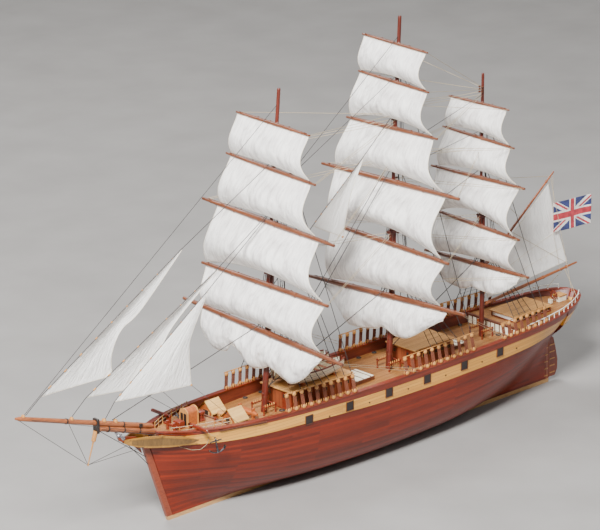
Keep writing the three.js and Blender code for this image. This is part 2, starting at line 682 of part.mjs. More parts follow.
const STAYSAIL = { foot: 22.6, top: 37.6, tack: [25.1, 0, 27.75], head: [32.5, 0, 33.55], belly: 0.25 };
const STAYSAIL_LEECH = [[29.8, 0.3, 25.3], [30.9, 0.2, 29.6]];
add('main_staysail_on_stay', staysail(
  mastBack(MASTS.fore, STAYSAIL.foot),
  STAYSAIL.tack,
  STAYSAIL.head,
  onMast(MASTS.main, STAYSAIL.top, STAY_CLEAR),
  STAYSAIL_LEECH,
  STAYSAIL.belly,
), SAILCLOTH, 0.85);

// Yards with their sails. Columns: name, mast, height, length, brace and cant in degrees, radius,
// then the sail's half width at the head and at the foot, the arch of its foot and its belly.
const YARDS = [
  ['course', 'fore', 17.75, 25.3, 0, 3.0, 0.33, 9.5, 9.0, 0, 1.2],
  ['lower_topsail', 'fore', 22.93, 20.1, 0.3, 0.4, 0.29, 9.4, 9.25, 0.45, 1.2],
  ['upper_topsail', 'fore', 29.77, 20.6, -0.4, 2.0, 0.29, 7.9, 9.2, 1.35, 1.9],
  ['topgallant', 'fore', 35.53, 14.5, 1.8, 1.5, 0.22, 6.5, 7.4, 0.5, 1.5],
  ['royal', 'fore', 40.41, 11.6, 0.4, 1.3, 0.18, 5.6, 6.3, 0.35, 1.2],
  ['course', 'main', 17.17, 24.6, -0.5, -3.0, 0.33, 9.6, 9.1, 0, 1.2],
  ['lower_topsail', 'main', 23.19, 20.2, 3.0, 0, 0.29, 9.4, 8.6, 0.6, 1.3],
  ['upper_topsail', 'main', 30.18, 21.0, -1.5, -0.8, 0.29, 8.45, 8.9, 1.8, 2.0],
  ['topgallant', 'main', 36.15, 14.2, 0.1, -1.6, 0.22, 6.5, 8.2, 1.0, 1.6],
  ['royal', 'main', 41.33, 11.6, 3.0, 0.4, 0.18, 5.5, 6.3, 0.95, 1.2],
  ['skysail', 'main', 45.57, 10.4, 1.5, 0.8, 0.16, 4.9, 5.3, 0.5, 1.0],
  ['crossjack', 'mizzen', 17.33, 16.8, 1.2, -2.4, 0.26, 7.0, 6.6, 0, 0.9],
  ['lower_topsail', 'mizzen', 21.88, 14.6, 5.0, -0.1, 0.23, 6.8, 6.4, 0.5, 1.0],
  ['upper_topsail', 'mizzen', 27.5, 14.6, -0.4, -1.4, 0.22, 6.4, 6.2, 1.5, 1.5],
  ['topgallant', 'mizzen', 32.13, 11.7, 2.5, 0.3, 0.18, 5.2, 6.0, 0.7, 1.2],
  ['royal', 'mizzen', 36.1, 9.6, 1.3, -1.7, 0.15, 4.4, 5.0, 0.6, 1.0],
].map(([name, mastName, height, length, brace, cant, radius, head, foot, arch, belly]) => {
  const [b, c] = [rad(brace), rad(cant)];
  return {
    name, mastName, length, radius, head, foot, arch, belly,
    centre: onMast(MASTS[mastName], height, YARD_LEAD),
    outward: new THREE.Vector3(Math.sin(b) * Math.cos(c), Math.cos(b) * Math.cos(c), Math.sin(c)),
    ahead: new THREE.Vector3(-Math.cos(b), Math.sin(b), 0),
  };
});

// Thickness of a yard from one end to the other. Columns: place, share of its full radius.
const YARD_TAPER = [
  [0, 0.6], [0.06, 0.66], [0.3, 0.94], [0.5, 1], [0.7, 0.94], [0.94, 0.66], [1, 0.6],
];
const outOn = (yard, reach) => yard.centre.clone().addScaledVector(yard.outward, reach * M);

for (const yard of YARDS) {
  const r = yard.radius;
  const half = yard.length / 2;
  const taper = YARD_TAPER.map(([place, share]) => [place, share * r]);
  const spar = turned(outOn(yard, -half), outOn(yard, half), taper, 8);
  add(`${yard.mastName}_${yard.name}_yard`, spar, SPAR, 0.45);
}

// A square sail set between its own yard and the yard below. Its foot arches up to clear the
// stays, its side edges are cut hollow, and HANG is the gap between a yard and its sail.
const HANG = 0.04;
const FOOT_GAP = 0.08;
const HOLLOW = 0.05;
const LEECH = 0.2; // the belly of a side edge, as a share of its height
const SHEER = 0.05; // how far a sail's head stands ahead of its yard
function squareSail(upper, lower) {
  const [rows, columns] = [8, 10];
  const edge = (LEECH * (upper.centre.z - lower.centre.z)) / M;
  const grid = [];
  for (let r = 0; r <= rows; r += 1) {
    const row = [];
    for (let c = 0; c <= columns; c += 1) {
      const v = r / rows;
      const u = lerp(-1, 1, c / columns);
      const reach = u * lerp(upper.head, upper.foot, v) * (1 - HOLLOW * Math.sin(Math.PI * v));
      const head = outOn(upper, reach);
      const foot = outOn(lower, reach);
      head.z -= (upper.radius + HANG) * M;
      foot.z += (lower.radius + FOOT_GAP + upper.arch * (1 - u * u)) * M;
      const middle = (1 - Math.abs(u) ** 2.5) * Math.sin(0.82 * Math.PI * v ** 0.9);
      const belly = (1.25 * upper.belly - edge) * middle + edge * Math.sin(Math.PI * v ** 1.2);
      const p = head.lerp(foot, v);
      p.addScaledVector(upper.ahead, (SHEER + belly) * M);
      row.push(p);
    }
    grid.push(row);
  }
  return cloth(grid, upper.ahead);
}

// The lowest square sails hang loose in three lobes, with their clews hauled up towards the yard.
// Columns: share of the half width from the port end to the starboard one, depth of the foot there.
const CLEWED = {
  fore_course: [
    [-1, 0.6], [-0.8, 2.6], [-0.6, 3.8], [-0.4, 3.8], [-0.23, 2.9], [-0.07, 3.6],
    [0.12, 3.9], [0.3, 3.4], [0.45, 2.2], [0.6, 3.5], [0.8, 3.6], [1, 2.8],
  ],
  main_course: [
    [-1, 0.9], [-0.85, 1.6], [-0.65, 2.7], [-0.45, 3.7], [-0.2, 3.9], [-0.05, 3.0],
    [0.1, 3.6], [0.25, 3.8], [0.4, 3.9], [0.6, 3.8], [0.8, 2.2], [1, 0.6],
  ],
  mizzen_crossjack: [
    [-1, 0.8], [-0.8, 1.7], [-0.58, 2.4], [-0.38, 2.7], [-0.2, 2.7], [-0.06, 2.3],
    [0.1, 2.5], [0.25, 2.9], [0.39, 2.9], [0.6, 2.8], [0.83, 2.3], [1, 1.4],
  ],
};
function clewedSail(yard, edge) {
  const rows = 6;
  const grid = [];
  for (let r = 0; r <= rows; r += 1) {
    const v = r / rows;
    grid.push(edge.map(([u, depth]) => {
      const p = outOn(yard, u * lerp(yard.head, yard.foot, v));
      p.z -= (yard.radius + HANG + depth * v) * M;
      const fullness = Math.sin(Math.PI * 0.85 * v) * (depth / 4) * (1 - 0.4 * u ** 4);
      p.addScaledVector(yard.ahead, (SHEER + yard.belly * fullness) * M);
      return p;
    }));
  }
  return cloth(grid, yard.ahead);
}

YARDS.forEach((yard, k) => {
  const sail = `${yard.mastName}_${yard.name}`;
  const edge = CLEWED[sail];
  add(`${sail}_sail`, edge ? clewedSail(yard, edge) : squareSail(yard, YARDS[k - 1]), SAILCLOTH, 0.85);
});

// Spanker: a fore-and-aft sail between a boom and a gaff that swing about the mizzen mast
const BOOM = { from: [51.6, 12.2], to: [66.7, 13.44], radius: 0.2 };
const GAFF = { from: [51.75, 16.85], to: [62.8, 25.35], radius: 0.15 };
for (const [name, spar] of [['spanker_boom', BOOM], ['spanker_gaff', GAFF]]) {
  const [a, b] = [spar.from, spar.to].map(([x, z]) => at(x, 0, z));
  const r = spar.radius;
  add(name, turned(a, b, [[0, 0.8 * r], [0.35, r], [0.9, 0.65 * r], [1, 0.5 * r]], 8), SPAR, 0.45);
}
add('spanker_sail', foreAndAftSail(
  [[51.85, 0, 12.75], [51.9, 0, 16.3]], [[65.05, 0, 14.0], [63.2, 0, 19.0], [61.9, 0, 24.0]], 0.35, 6, 6,
), SAILCLOTH, 0.85);

// Ensign, flying aft from the gaff's end
const ENSIGN = { hoist: 62.45, fly: 6.3, top: 21.7, bottom: 18.15, y: -0.32 };
add('ensign', cloth([0, 1].map((v) => [0, 0.25, 0.5, 0.75, 1].map((u) => at(
  ENSIGN.hoist + u * ENSIGN.fly,
  ENSIGN.y - 0.12 * Math.sin(2 * Math.PI * u) * u,
  lerp(ENSIGN.bottom, ENSIGN.top, v) - 0.35 * u,
))), new THREE.Vector3(0, 1, 0)), ENSIGN_RED, 0.8);

// Rudder, hung on the sternpost
const RUDDER = { axis: 61.97, stock: 0.15, foot: 0.55, head: 5.3, half: 0.13 };
add('rudder', join([
  bar(at(RUDDER.axis, 0, RUDDER.foot), at(RUDDER.axis, 0, RUDDER.head), RUDDER.stock, 10),
  upright([
    [RUDDER.axis, RUDDER.foot],
    [62.95, RUDDER.foot],
    [63.3, 1.3],
    [63.35, 2.5],
    [63.05, 3.9],
    [62.65, RUDDER.head],
    [RUDDER.axis, RUDDER.head],
  ], RUDDER.half),
]), MAHOGANY, 0.4);

// Steering wheel on the poop, and the capstan on the forecastle
const WHEEL = { x: 62.85, z: POOP.z + 0.86, rim: 0.5, reach: 0.74 };
const wheelParts = [];
const rim = new THREE.TorusGeometry(WHEEL.rim * M, 0.05 * M, 5, 16);
rim.rotateY(Math.PI / 2);
const hubPoint = at(WHEEL.x, 0, WHEEL.z);
rim.translate(hubPoint.x, hubPoint.y, hubPoint.z);
wheelParts.push(rim, bar(at(WHEEL.x - 0.1, 0, WHEEL.z), at(WHEEL.x + 0.2, 0, WHEEL.z), 0.12, 8));
for (let k = 0; k < 4; k += 1) {
  const angle = (Math.PI * (k + 0.5)) / 4;
  const [dy, dz] = [Math.cos(angle) * WHEEL.reach, Math.sin(angle) * WHEEL.reach];
  wheelParts.push(bar(at(WHEEL.x, -dy, WHEEL.z - dz), at(WHEEL.x, dy, WHEEL.z + dz), 0.035, 4));
}
add('steering_wheel', join(wheelParts), SPAR, 0.45);

const CAPSTAN = { x: 8.4, foot: FORECASTLE.z + FIT };
add('capstan', turned(at(CAPSTAN.x, 0, CAPSTAN.foot), at(CAPSTAN.x, 0, CAPSTAN.foot + 1.05), [
  [0, 0.5], [0.12, 0.5], [0.13, 0.34], [0.6, 0.28], [0.72, 0.42], [0.98, 0.42], [1, 0.3],
], 12), DARK_RAIL, 0.45);

export default ship;
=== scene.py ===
# %% [markdown]
# # A wooden display model of a three-masted clipper
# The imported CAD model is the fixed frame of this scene: it says where every part is and how it moves.
# The script loads it, then gives each part its real finish and adds what a kit builder would add:
# planking, deck fittings, cloth sails and the rigging. Everything is in metres, bow towards -X.

# %% Load the frame
from math import copysign, cos, exp, hypot, pi, radians, sin, sqrt, tan, tau

import bmesh
import bpy
from mathutils import Matrix, Vector, noise


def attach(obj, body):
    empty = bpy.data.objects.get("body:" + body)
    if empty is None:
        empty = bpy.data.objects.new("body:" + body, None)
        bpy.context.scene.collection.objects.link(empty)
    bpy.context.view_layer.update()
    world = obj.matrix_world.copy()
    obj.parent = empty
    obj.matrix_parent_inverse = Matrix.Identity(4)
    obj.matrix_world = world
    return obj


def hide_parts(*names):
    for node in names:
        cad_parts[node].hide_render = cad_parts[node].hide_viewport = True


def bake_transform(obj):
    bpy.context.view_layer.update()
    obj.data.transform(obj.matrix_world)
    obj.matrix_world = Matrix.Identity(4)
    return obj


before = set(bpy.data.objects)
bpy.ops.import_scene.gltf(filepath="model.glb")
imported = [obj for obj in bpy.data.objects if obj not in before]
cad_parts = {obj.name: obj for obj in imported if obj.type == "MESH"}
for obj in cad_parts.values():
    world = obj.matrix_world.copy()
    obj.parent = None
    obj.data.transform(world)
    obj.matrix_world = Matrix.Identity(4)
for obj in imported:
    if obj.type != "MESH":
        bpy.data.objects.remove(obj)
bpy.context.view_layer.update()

# %% [markdown]
# ## The camera
# The photograph was taken from off the port bow, a little above the deck, with a long lens. The place
# and the lens were fitted to points of the hull and the masts. The camera comes first, so that each
# new piece can be looked at from the same place.

# %% Camera
AZIMUTH, ELEVATION, ROLL = -42.465, 18.754, -1.19
DISTANCE, LENS, SENSOR = 5.0, 222.72, 36
AIM = Vector((-0.11069, 0, 0.29708))
X, Y, Z = Vector((1, 0, 0)), Vector((0, 1, 0)), Vector((0, 0, 1))


def towards(azimuth, elevation):
    """The direction from the model to a camera."""
    a, e = radians(azimuth), radians(elevation)
    return Vector((sin(a) * cos(e), -cos(a) * cos(e), sin(e)))


def basis(x, y, z, place):
    """A matrix from three axes and a place."""
    rows = [(x[i], y[i], z[i], place[i]) for i in range(3)]
    return Matrix((*rows, (0, 0, 0, 1)))


def link(obj):
    """Put a new object into the scene."""
    bpy.context.scene.collection.objects.link(obj)
    return obj


camera = link(bpy.data.objects.new("camera", bpy.data.cameras.new("camera")))
camera.data.lens, camera.data.sensor_width = LENS, SENSOR
camera.data.clip_start, camera.data.clip_end = 0.1, 60
back, right = towards(AZIMUTH, ELEVATION), towards(AZIMUTH + 90, 0)
level = basis(right, back.cross(right), back, AIM + back * DISTANCE)
camera.matrix_world = level @ Matrix.Rotation(radians(ROLL), 4, "Z")
bpy.context.scene.camera = camera
print("camera at", [round(c, 3) for c in camera.location])

# %% [markdown]
# ## Measures of the ship
# The model is 1:80, and the tables below give the ship in metres at full size, as the CAD source does.
# The hull is a table of stations from the stem to the stern. A smooth curve runs through its rows, and
# breaks sharply only at the sternpost.

# %% Scale and hull table
M = 0.0125  # metres of the model for one metre of the ship
MIDSHIPS = 32
MM = 0.001

# Columns: x, half breadth, rail top, rail foot, strake foot, hull bottom, fullness
STATIONS = [
    [0.35, 0.3, 10.95, 10.42, 9.3, 0.47, 1.3],
    [2.2, 1.75, 10.78, 10.26, 9.1, 0.47, 1.25],
    [5, 3.1, 10.55, 10.05, 8.85, 0.47, 1.1],
    [9, 4.25, 10.3, 9.85, 8.55, 0.47, 0.85],
    [14, 5.0, 10.05, 9.55, 8.3, 0.47, 0.6],
    [20, 5.35, 9.9, 9.25, 8.05, 0.47, 0.42],
    [28, 5.5, 9.73, 8.95, 7.62, 0.47, 0.34],
    [36, 5.5, 9.68, 8.84, 7.37, 0.47, 0.34],
    [44, 5.4, 9.7, 8.85, 7.36, 0.47, 0.42],
    [50, 5.2, 9.7, 8.86, 7.37, 0.47, 0.66],
    [55, 4.85, 9.71, 8.87, 7.42, 0.47, 1.1],
    [59, 4.35, 9.8, 8.95, 7.55, 0.47, 2.0],
    [61.2, 3.9, 9.92, 9.07, 7.72, 0.47, 3.0],
    [61.22, 3.88, 9.93, 9.08, 7.73, 5.45, 0.85],
    [63.3, 3.15, 10.07, 9.22, 7.96, 6.3, 0.7],
    [65, 2.15, 10.2, 9.35, 8.18, 7.1, 0.6],
    [66, 1.0, 10.27, 9.42, 8.3, 7.6, 0.6],
    [66.25, 0.14, 10.3, 9.45, 8.35, 7.75, 0.6],
]
LAST_STATION = len(STATIONS) - 1
STERNPOST_ROWS = (12, 13)
STEM_RAKE, STERN_RAKE = 0.338, 0.5  # how far the ends lean for each metre down from the rail
BOW_LENGTH, STERN_START, STERN_LENGTH = 12, 61.5, 4.75
KEEL_DEPTH = 0.45
MAIN_DECK, FORECASTLE_DECK, POOP_DECK = 8.45, 9.95, 9.5
RAIL_OVERHANG, RAIL_WIDTH, BULWARK = 0.12, 0.62, 0.32


def at(x, y, z):
    """A place of the ship in the model's frame."""
    return Vector(((x - MIDSHIPS) * M, y * M, z * M))


def ship_x(point):
    """The distance of a place from the stem, in ship metres."""
    return point.x / M + MIDSHIPS


def by(x=0.0, y=0.0, z=0.0):
    """A shift given in ship metres."""
    return Vector((x, y, z)) * M


def mix(a, b, share):
    return a + (b - a) * share


def through(p0, p1, p2, p3, f):
    """A value between p1 and p2, f of the way, on a smooth curve through all four."""
    square = 2 * p0 - 5 * p1 + 4 * p2 - p3
    cube = 3 * p1 - p0 - 3 * p2 + p3
    return 0.5 * (2 * p1 + (p2 - p0) * f + square * f * f + cube * f**3)


def station(place):
    """One row of the hull table at a place between two rows, smoothed through its neighbours."""
    i = min(int(place), LAST_STATION - 1)
    before = i if i in STERNPOST_ROWS else max(i - 1, 0)
    after = i + 1 if i + 1 in STERNPOST_ROWS else min(i + 2, LAST_STATION)
    columns = zip(STATIONS[before], STATIONS[i], STATIONS[i + 1], STATIONS[after])
    return [through(*column, place - i) for column in columns]


def station_at(x):
    """The station at a distance from the stem."""
    low, high = 0, LAST_STATION
    for _ in range(40):
        middle = (low + high) / 2
        low, high = (middle, high) if station(middle)[0] < x else (low, middle)
    return station(low)


def side(row, z, sign, inset=0.0):
    """A point of the hull's side. The bow leans aft as it goes down, and the stern leans forward."""
    x, breadth, rail_top, _, _, bottom, fullness = row
    t = max(0, (z - bottom) / (rail_top - bottom))
    y = max(breadth * sin(pi / 2 * t**fullness), 0) - inset
    bow = max(0, 1 - (x - STATIONS[0][0]) / BOW_LENGTH) * STEM_RAKE
    stern = max(0, (x - STERN_START) / STERN_LENGTH) * STERN_RAKE
    return at(x + (bow - stern) * (rail_top - z), sign * y, z)


def side_at(x, z, sign, inset=0.0):
    """A point of the hull's side at a distance from the stem."""
    return side(station_at(x), z, sign, inset)


print("hull", round((STATIONS[-1][0] - STATIONS[0][0]) * M, 3), "m long over the rail")

# %% [markdown]
# ## Shapes
# Nearly all of the model is made from five shapes: a skin stretched over a grid, a turned spar, a rope
# between two points, a rope along a curve, and a block of wood with its edges broken. Each has one
# helper that adds its shape to a bmesh, and one more helper turns a filled bmesh into a piece.

# %% A piece of the model
WELD = 1e-6  # corners closer than this, in metres, become one


def piece(name, bm, material, stands_for=(), body="ship", crease=35):
    """Finish a bmesh: weld it, turn its faces out, shade it and fix it to a body."""
    bmesh.ops.remove_doubles(bm, verts=bm.verts, dist=WELD)
    bmesh.ops.recalc_face_normals(bm, faces=bm.faces)
    mesh = bpy.data.meshes.new(name)
    bm.to_mesh(mesh)
    bm.free()
    mesh.shade_smooth()
    mesh.set_sharp_from_angle(angle=radians(crease))
    for finish in material if isinstance(material, list) else [material]:
        mesh.materials.append(finish)
    obj = link(bpy.data.objects.new(name, mesh))
    if body:
        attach(obj, body)
    if stands_for:
        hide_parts(*stands_for)
    print(f"{name}: {len(mesh.polygons)} faces")
    return obj


def fresh(count):
    """New empty bmeshes for pieces that a cell makes side by side."""
    return [bmesh.new() for _ in range(count)]


def close(bm):
    """Weld the corners that meet and fill the open ends."""
    bmesh.ops.remove_doubles(bm, verts=bm.verts, dist=WELD)
    bmesh.ops.holes_fill(bm, edges=[e for e in bm.edges if e.is_boundary])


def map_uv(bm, verts, place):
    """Redraw the UV map on the faces of some corners. place gets a corner's position and its old UV."""
    uv = bm.loops.layers.uv.verify()
    for face in {f for vert in verts for f in vert.link_faces}:
        for loop in face.loops:
            loop[uv].uv = place(loop.vert.co, loop[uv].uv)


# %% Skins, spars, ropes and blocks
def skin(bm, columns, rows, place, size=(1, 1)):
    """A grid whose corners are moved to place(u, v), u and v from 0 to 1. Its UV map is in metres."""
    bm.loops.layers.uv.verify()
    made = bmesh.ops.create_grid(bm, x_segments=columns, y_segments=rows, size=0.5, calc_uvs=True)["verts"]
    map_uv(bm, made, lambda co, old: (old.x * size[0], old.y * size[1]))
    for vert in made:
        vert.co = place(vert.co.x + 0.5, vert.co.y + 0.5)


def square_to(direction):
    """Two unit vectors at right angles to a direction."""
    guide = Z if abs(direction.z) < 0.9 * direction.length else X
    first = direction.cross(guide).normalized()
    return first, direction.cross(first).normalized()


def spar(bm, start, end, profile, sides=16):
    """A turned spar. Its profile holds pairs of a share of the length and a radius in ship metres.
    A single number stands for an even spar, and two numbers for a tapered one."""
    if not isinstance(profile, (list, tuple)):
        profile = (profile, profile)
    if not isinstance(profile[0], tuple):
        profile = list(zip((0, 1), profile))
    way = end - start
    out = square_to(way)[0] * M
    line = [(profile[0][0], 0), *profile, (profile[-1][0], 0)]
    corners = [bm.verts.new(start + way * share + out * radius) for share, radius in line]
    edges = [bm.edges.new(pair) for pair in zip(corners, corners[1:])]
    bmesh.ops.spin(
        bm, geom=corners + edges, cent=start, axis=way.normalized(),
        angle=tau, steps=sides, use_merge=True,
    )


def rope(bm, start, end, radius, sides=5):
    """A taut rope, with its UV map in metres along it and across it."""
    bm.loops.layers.uv.verify()
    length, way = (end - start).length, (end - start).normalized()
    first = square_to(end - start)[0]
    made = bmesh.ops.create_cone(
        bm, cap_ends=True, segments=sides, radius1=radius, radius2=radius,
        depth=length, matrix=basis(first, way.cross(first), way, (start + end) / 2), calc_uvs=True,
    )["verts"]
    map_uv(bm, made, lambda co, old: ((co - start).dot(way), old.x * tau * radius))


def bent_rope(bm, points, radius, sides=5, closed=False):
    """A rope along a line of points, made by extruding a ring from each point to the next."""
    count = len(points)
    matrices, first = [], None
    for k, point in enumerate(points):
        ahead = points[(k + 1) % count] if closed or k < count - 1 else point
        behind = points[k - 1] if closed or k > 0 else point
        way = (ahead - behind).normalized()
        # Each ring starts from the last one's direction, which keeps the rope from twisting
        first = square_to(way)[0] if first is None else (first - way * first.dot(way)).normalized()
        matrices.append(basis(first, way.cross(first), way, point))
    ring = bmesh.ops.create_circle(
        bm, cap_ends=not closed, segments=sides, radius=radius, matrix=matrices[0]
    )["verts"]
    edges = [e for e in {e for v in ring for e in v.link_edges} if all(v in ring for v in e.verts)]
    first_edges = edges
    for before, after in zip(matrices, matrices[1:]):
        made = bmesh.ops.extrude_edge_only(bm, edges=edges)["geom"]
        verts = [g for g in made if isinstance(g, bmesh.types.BMVert)]
        edges = [g for g in made if isinstance(g, bmesh.types.BMEdge)]
        edges = [e for e in edges if all(v in verts for v in e.verts)]
        bmesh.ops.transform(bm, matrix=after @ before.inverted(), verts=verts)
    if closed:
        bmesh.ops.bridge_loops(bm, edges=edges + first_edges)
    else:
        bmesh.ops.holes_fill(bm, edges=edges)


def box(bm, matrix, bevel=0.0):
    """A unit cube placed by a matrix, its edges broken by bevel in mm."""
    verts = bmesh.ops.create_cube(bm, size=1, matrix=matrix)["verts"]
    if bevel:
        bmesh.ops.bevel(
            bm, geom=list({e for v in verts for e in v.link_edges}), offset=bevel * MM,
            offset_type="OFFSET", affect="EDGES", segments=1, profile=0.5, material=-1,
        )


def block(bm, low, high, bevel=0.0, turn=None):
    """A block of wood between two corners in ship metres, its edges broken by bevel in mm."""
    a, b = at(*low), at(*high)
    box(bm, Matrix.Translation((a + b) / 2) @ (turn or Matrix()) @ Matrix.Diagonal((*(b - a), 1)), bevel)


def post(bm, x, y, half_x, half_y, low, high, bevel=0.0):
    """A block given by the middle of its plan, its half widths and its two heights."""
    block(bm, (x - half_x, y - half_y, low), (x + half_x, y + half_y, high), bevel)


def bead(bm, centre, radius, squash=1.0, way=Z, turns=8):
    """A rounded wooden bead: a block or a deadeye. Its radius is in ship metres."""
    first = square_to(way)[0]
    matrix = basis(first, way.normalized().cross(first), way.normalized() * squash, centre)
    bmesh.ops.create_uvsphere(
        bm, u_segments=turns, v_segments=max(4, turns // 2), radius=radius * M, matrix=matrix
    )


def angles(count, shift=0.0):
    """Angles spread evenly round a circle."""
    return [tau * (k + shift) / count for k in range(count)]


def circle(centre, radius, count, first, second):
    """Points on a circle in the plane of two directions. Its radius is in ship metres."""
    return [centre + (first * cos(a) + second * sin(a)) * radius * M for a in angles(count)]


print("shape helpers ready")

# %% [markdown]
# ## Finishes
# Each material starts from what the real one is and how it was worked. One function turns the hex
# colours to linear, one adds a node with its settings and links, and short ones build on it for the
# nodes that most finishes share.

# %% Node helpers
def linear(code):
    """An sRGB hex colour as the linear colour that the shader wants."""
    parts = [int(code[i : i + 2], 16) / 255 for i in (1, 3, 5)]
    return (*[c / 12.92 if c <= 0.04045 else ((c + 0.055) / 1.055) ** 2.4 for c in parts], 1)


def add(tree, kind, inputs=None, **settings):
    """Add a node, set its settings, and fill its inputs with values or links."""
    made = tree.nodes.new("ShaderNode" + kind)
    for key, value in settings.items():
        setattr(made, key, value)
    for socket, value in (inputs or {}).items():
        if isinstance(value, bpy.types.NodeSocket):
            tree.links.new(value, made.inputs[socket])
        else:
            made.inputs[socket].default_value = value
    return made


def new_material(name, roughness, **shader):
    """An empty material: its node tree and its shader."""
    material = bpy.data.materials.new(name)
    material.use_nodes = True
    surface = material.node_tree.nodes["Principled BSDF"]
    surface.inputs["Roughness"].default_value = roughness
    for socket, value in shader.items():
        surface.inputs[socket.replace("_", " ").title()].default_value = value
    return material, material.node_tree, surface


def finish(made, colour, relief=None, roughness=None):
    """Link what was worked out for a material to its shader."""
    material, tree, surface = made
    for socket, source in (("Base Color", colour), ("Roughness", roughness), ("Normal", relief)):
        if source:
            tree.links.new(source, surface.inputs[socket])
    return material


def coordinates(tree, kind="Object"):
    return add(tree, "TexCoord").outputs[kind]


def stretch(tree, where, scale):
    return add(tree, "Mapping", {"Vector": where, "Scale": scale}).outputs["Vector"]


def clouds(tree, where, scale=5.0, detail=2.0, **more):
    return add(tree, "TexNoise", {"Vector": where, "Scale": scale, "Detail": detail, **more}).outputs["Fac"]


def threads(tree, where, width, bands, **more):
    """Waves width mm wide."""
    inputs = {"Vector": where, "Scale": tau / (width * MM) / 20, **more}
    return add(tree, "TexWave", inputs, bands_direction=bands).outputs["Fac"]


def blend(tree, factor, a, b):
    return add(tree, "Mix", {"Factor": factor, "A": a, "B": b}).outputs["Result"]


def between(tree, value, low, high):
    return add(tree, "MapRange", {"Value": value, "To Min": low, "To Max": high}).outputs["Result"]


def bump(tree, height, strength, depth, over=None, invert=False):
    """A relief depth mm deep, over another one if that is given."""
    inputs = {"Height": height, "Strength": strength, "Distance": depth * MM}
    if over:
        inputs["Normal"] = over
    return add(tree, "Bump", inputs, invert=invert).outputs["Normal"]


def ramp(tree, factor, *stops):
    """A colour ramp from pairs of a position and a hex colour."""
    made = add(tree, "ValToRGB", {"Fac": factor})
    for element, (position, code) in zip(made.color_ramp.elements, stops):
        element.position = position
        element.color = linear(code)
    return made.outputs["Color"]


# %% [markdown]
# ### Woods
# The hull, spars and houses are thin hardwood under satin varnish. Varnish gives a soft sheen, and the
# grain shows as long streaks of a darker tone. Grain runs along the piece, so the noise is stretched
# along one axis: coarse streaks 2 mm wide and fine pores 0.4 mm wide, drawn a little coarser than in
# the real timber so that they show.

# %% Wood
def wood(name, light, dark, grain, roughness=0.38, coat=0.25, streak=2.0, contrast=0.5):
    """Varnished wood. grain is the axis that the fibres follow, and streak their width in mm."""
    made = new_material(name, roughness, Coat_weight=coat, Coat_roughness=0.3)
    tree = made[1]
    across, along = 1 / (streak * MM), 1 / (streak * 14 * MM)
    fibres = stretch(tree, coordinates(tree), [along if axis == grain else across for axis in "XYZ"])
    coarse = clouds(tree, fibres, 0.6, 4.0, Roughness=0.6)
    fine = clouds(tree, fibres)
    stops = (0.5 - 0.35 * contrast, dark), (0.5 + 0.35 * contrast, light)
    tone = ramp(tree, blend(tree, 0.35, coarse, fine), *stops)
    sheen = between(tree, fine, roughness - 0.06, roughness + 0.1)
    return finish(made, tone, bump(tree, fine, 0.25, 0.1), sheen)


mast_wood = wood("stained_beech_mast", "#702a1a", "#42150c", "Z")
yard_wood = wood("varnished_walnut_yard", "#824a2e", "#502a18", "Y", streak=1.6)
boom_wood = wood("varnished_walnut_boom", "#aa6438", "#743c20", "X", streak=1.6)
gaff_wood = wood("varnished_walnut_gaff", "#a45a30", "#6a341c", "Z", streak=1.6)
rail_wood = wood("sapele_rail", "#8a3218", "#54190c", "X", roughness=0.35, coat=0.22)
dark_wood = wood("walnut_fitting", "#6d3a24", "#3d1c12", "Z", streak=1.2)
stem_wood = wood("mahogany_stem", "#8f3a1a", "#5c2210", "Z", coat=0.22)
house_wood = wood("mahogany_panel", "#9a4f2c", "#602a18", "Z", roughness=0.42)
lining_wood = wood("stained_bulwark_lining", "#7c3420", "#481a10", "X", roughness=0.45, coat=0.15)
roof_wood = wood("pale_lime_roof", "#dcb26c", "#b98a48", "X", roughness=0.45)
orange_wood = wood("pearwood_gable", "#b8632e", "#83401c", "Y", roughness=0.4)
bead_wood = wood("boxwood_bead", "#cf9450", "#9c6630", "Z", streak=0.8, roughness=0.4)
ebony = wood("ebonised_lid", "#2e211c", "#160f0d", "X", roughness=0.45, coat=0.2)
pane_glass = wood("dark_window_pane", "#3a302c", "#211a18", "Z", roughness=0.15, coat=0.8)
gilt_wood = wood("gilded_trailboard", "#bd8838", "#74501e", "X", streak=1.0, contrast=0.9)
field_wood = wood("carved_field", "#8f6a34", "#3f2a14", "Z", streak=1.4, roughness=0.45, contrast=0.9)
print(len(bpy.data.materials), "materials so far")

# %% [markdown]
# ### Planking
# Kits are planked with strips about 4 mm wide on the hull, 2.6 mm on the decks and 1.5 mm on the boats.
# A brick texture draws the strips: its mortar is the seam, and its two colours give each strip its own
# tone. The hull and the boats read the piece's UV map, because their strips follow the shell, and the
# decks read object coordinates.

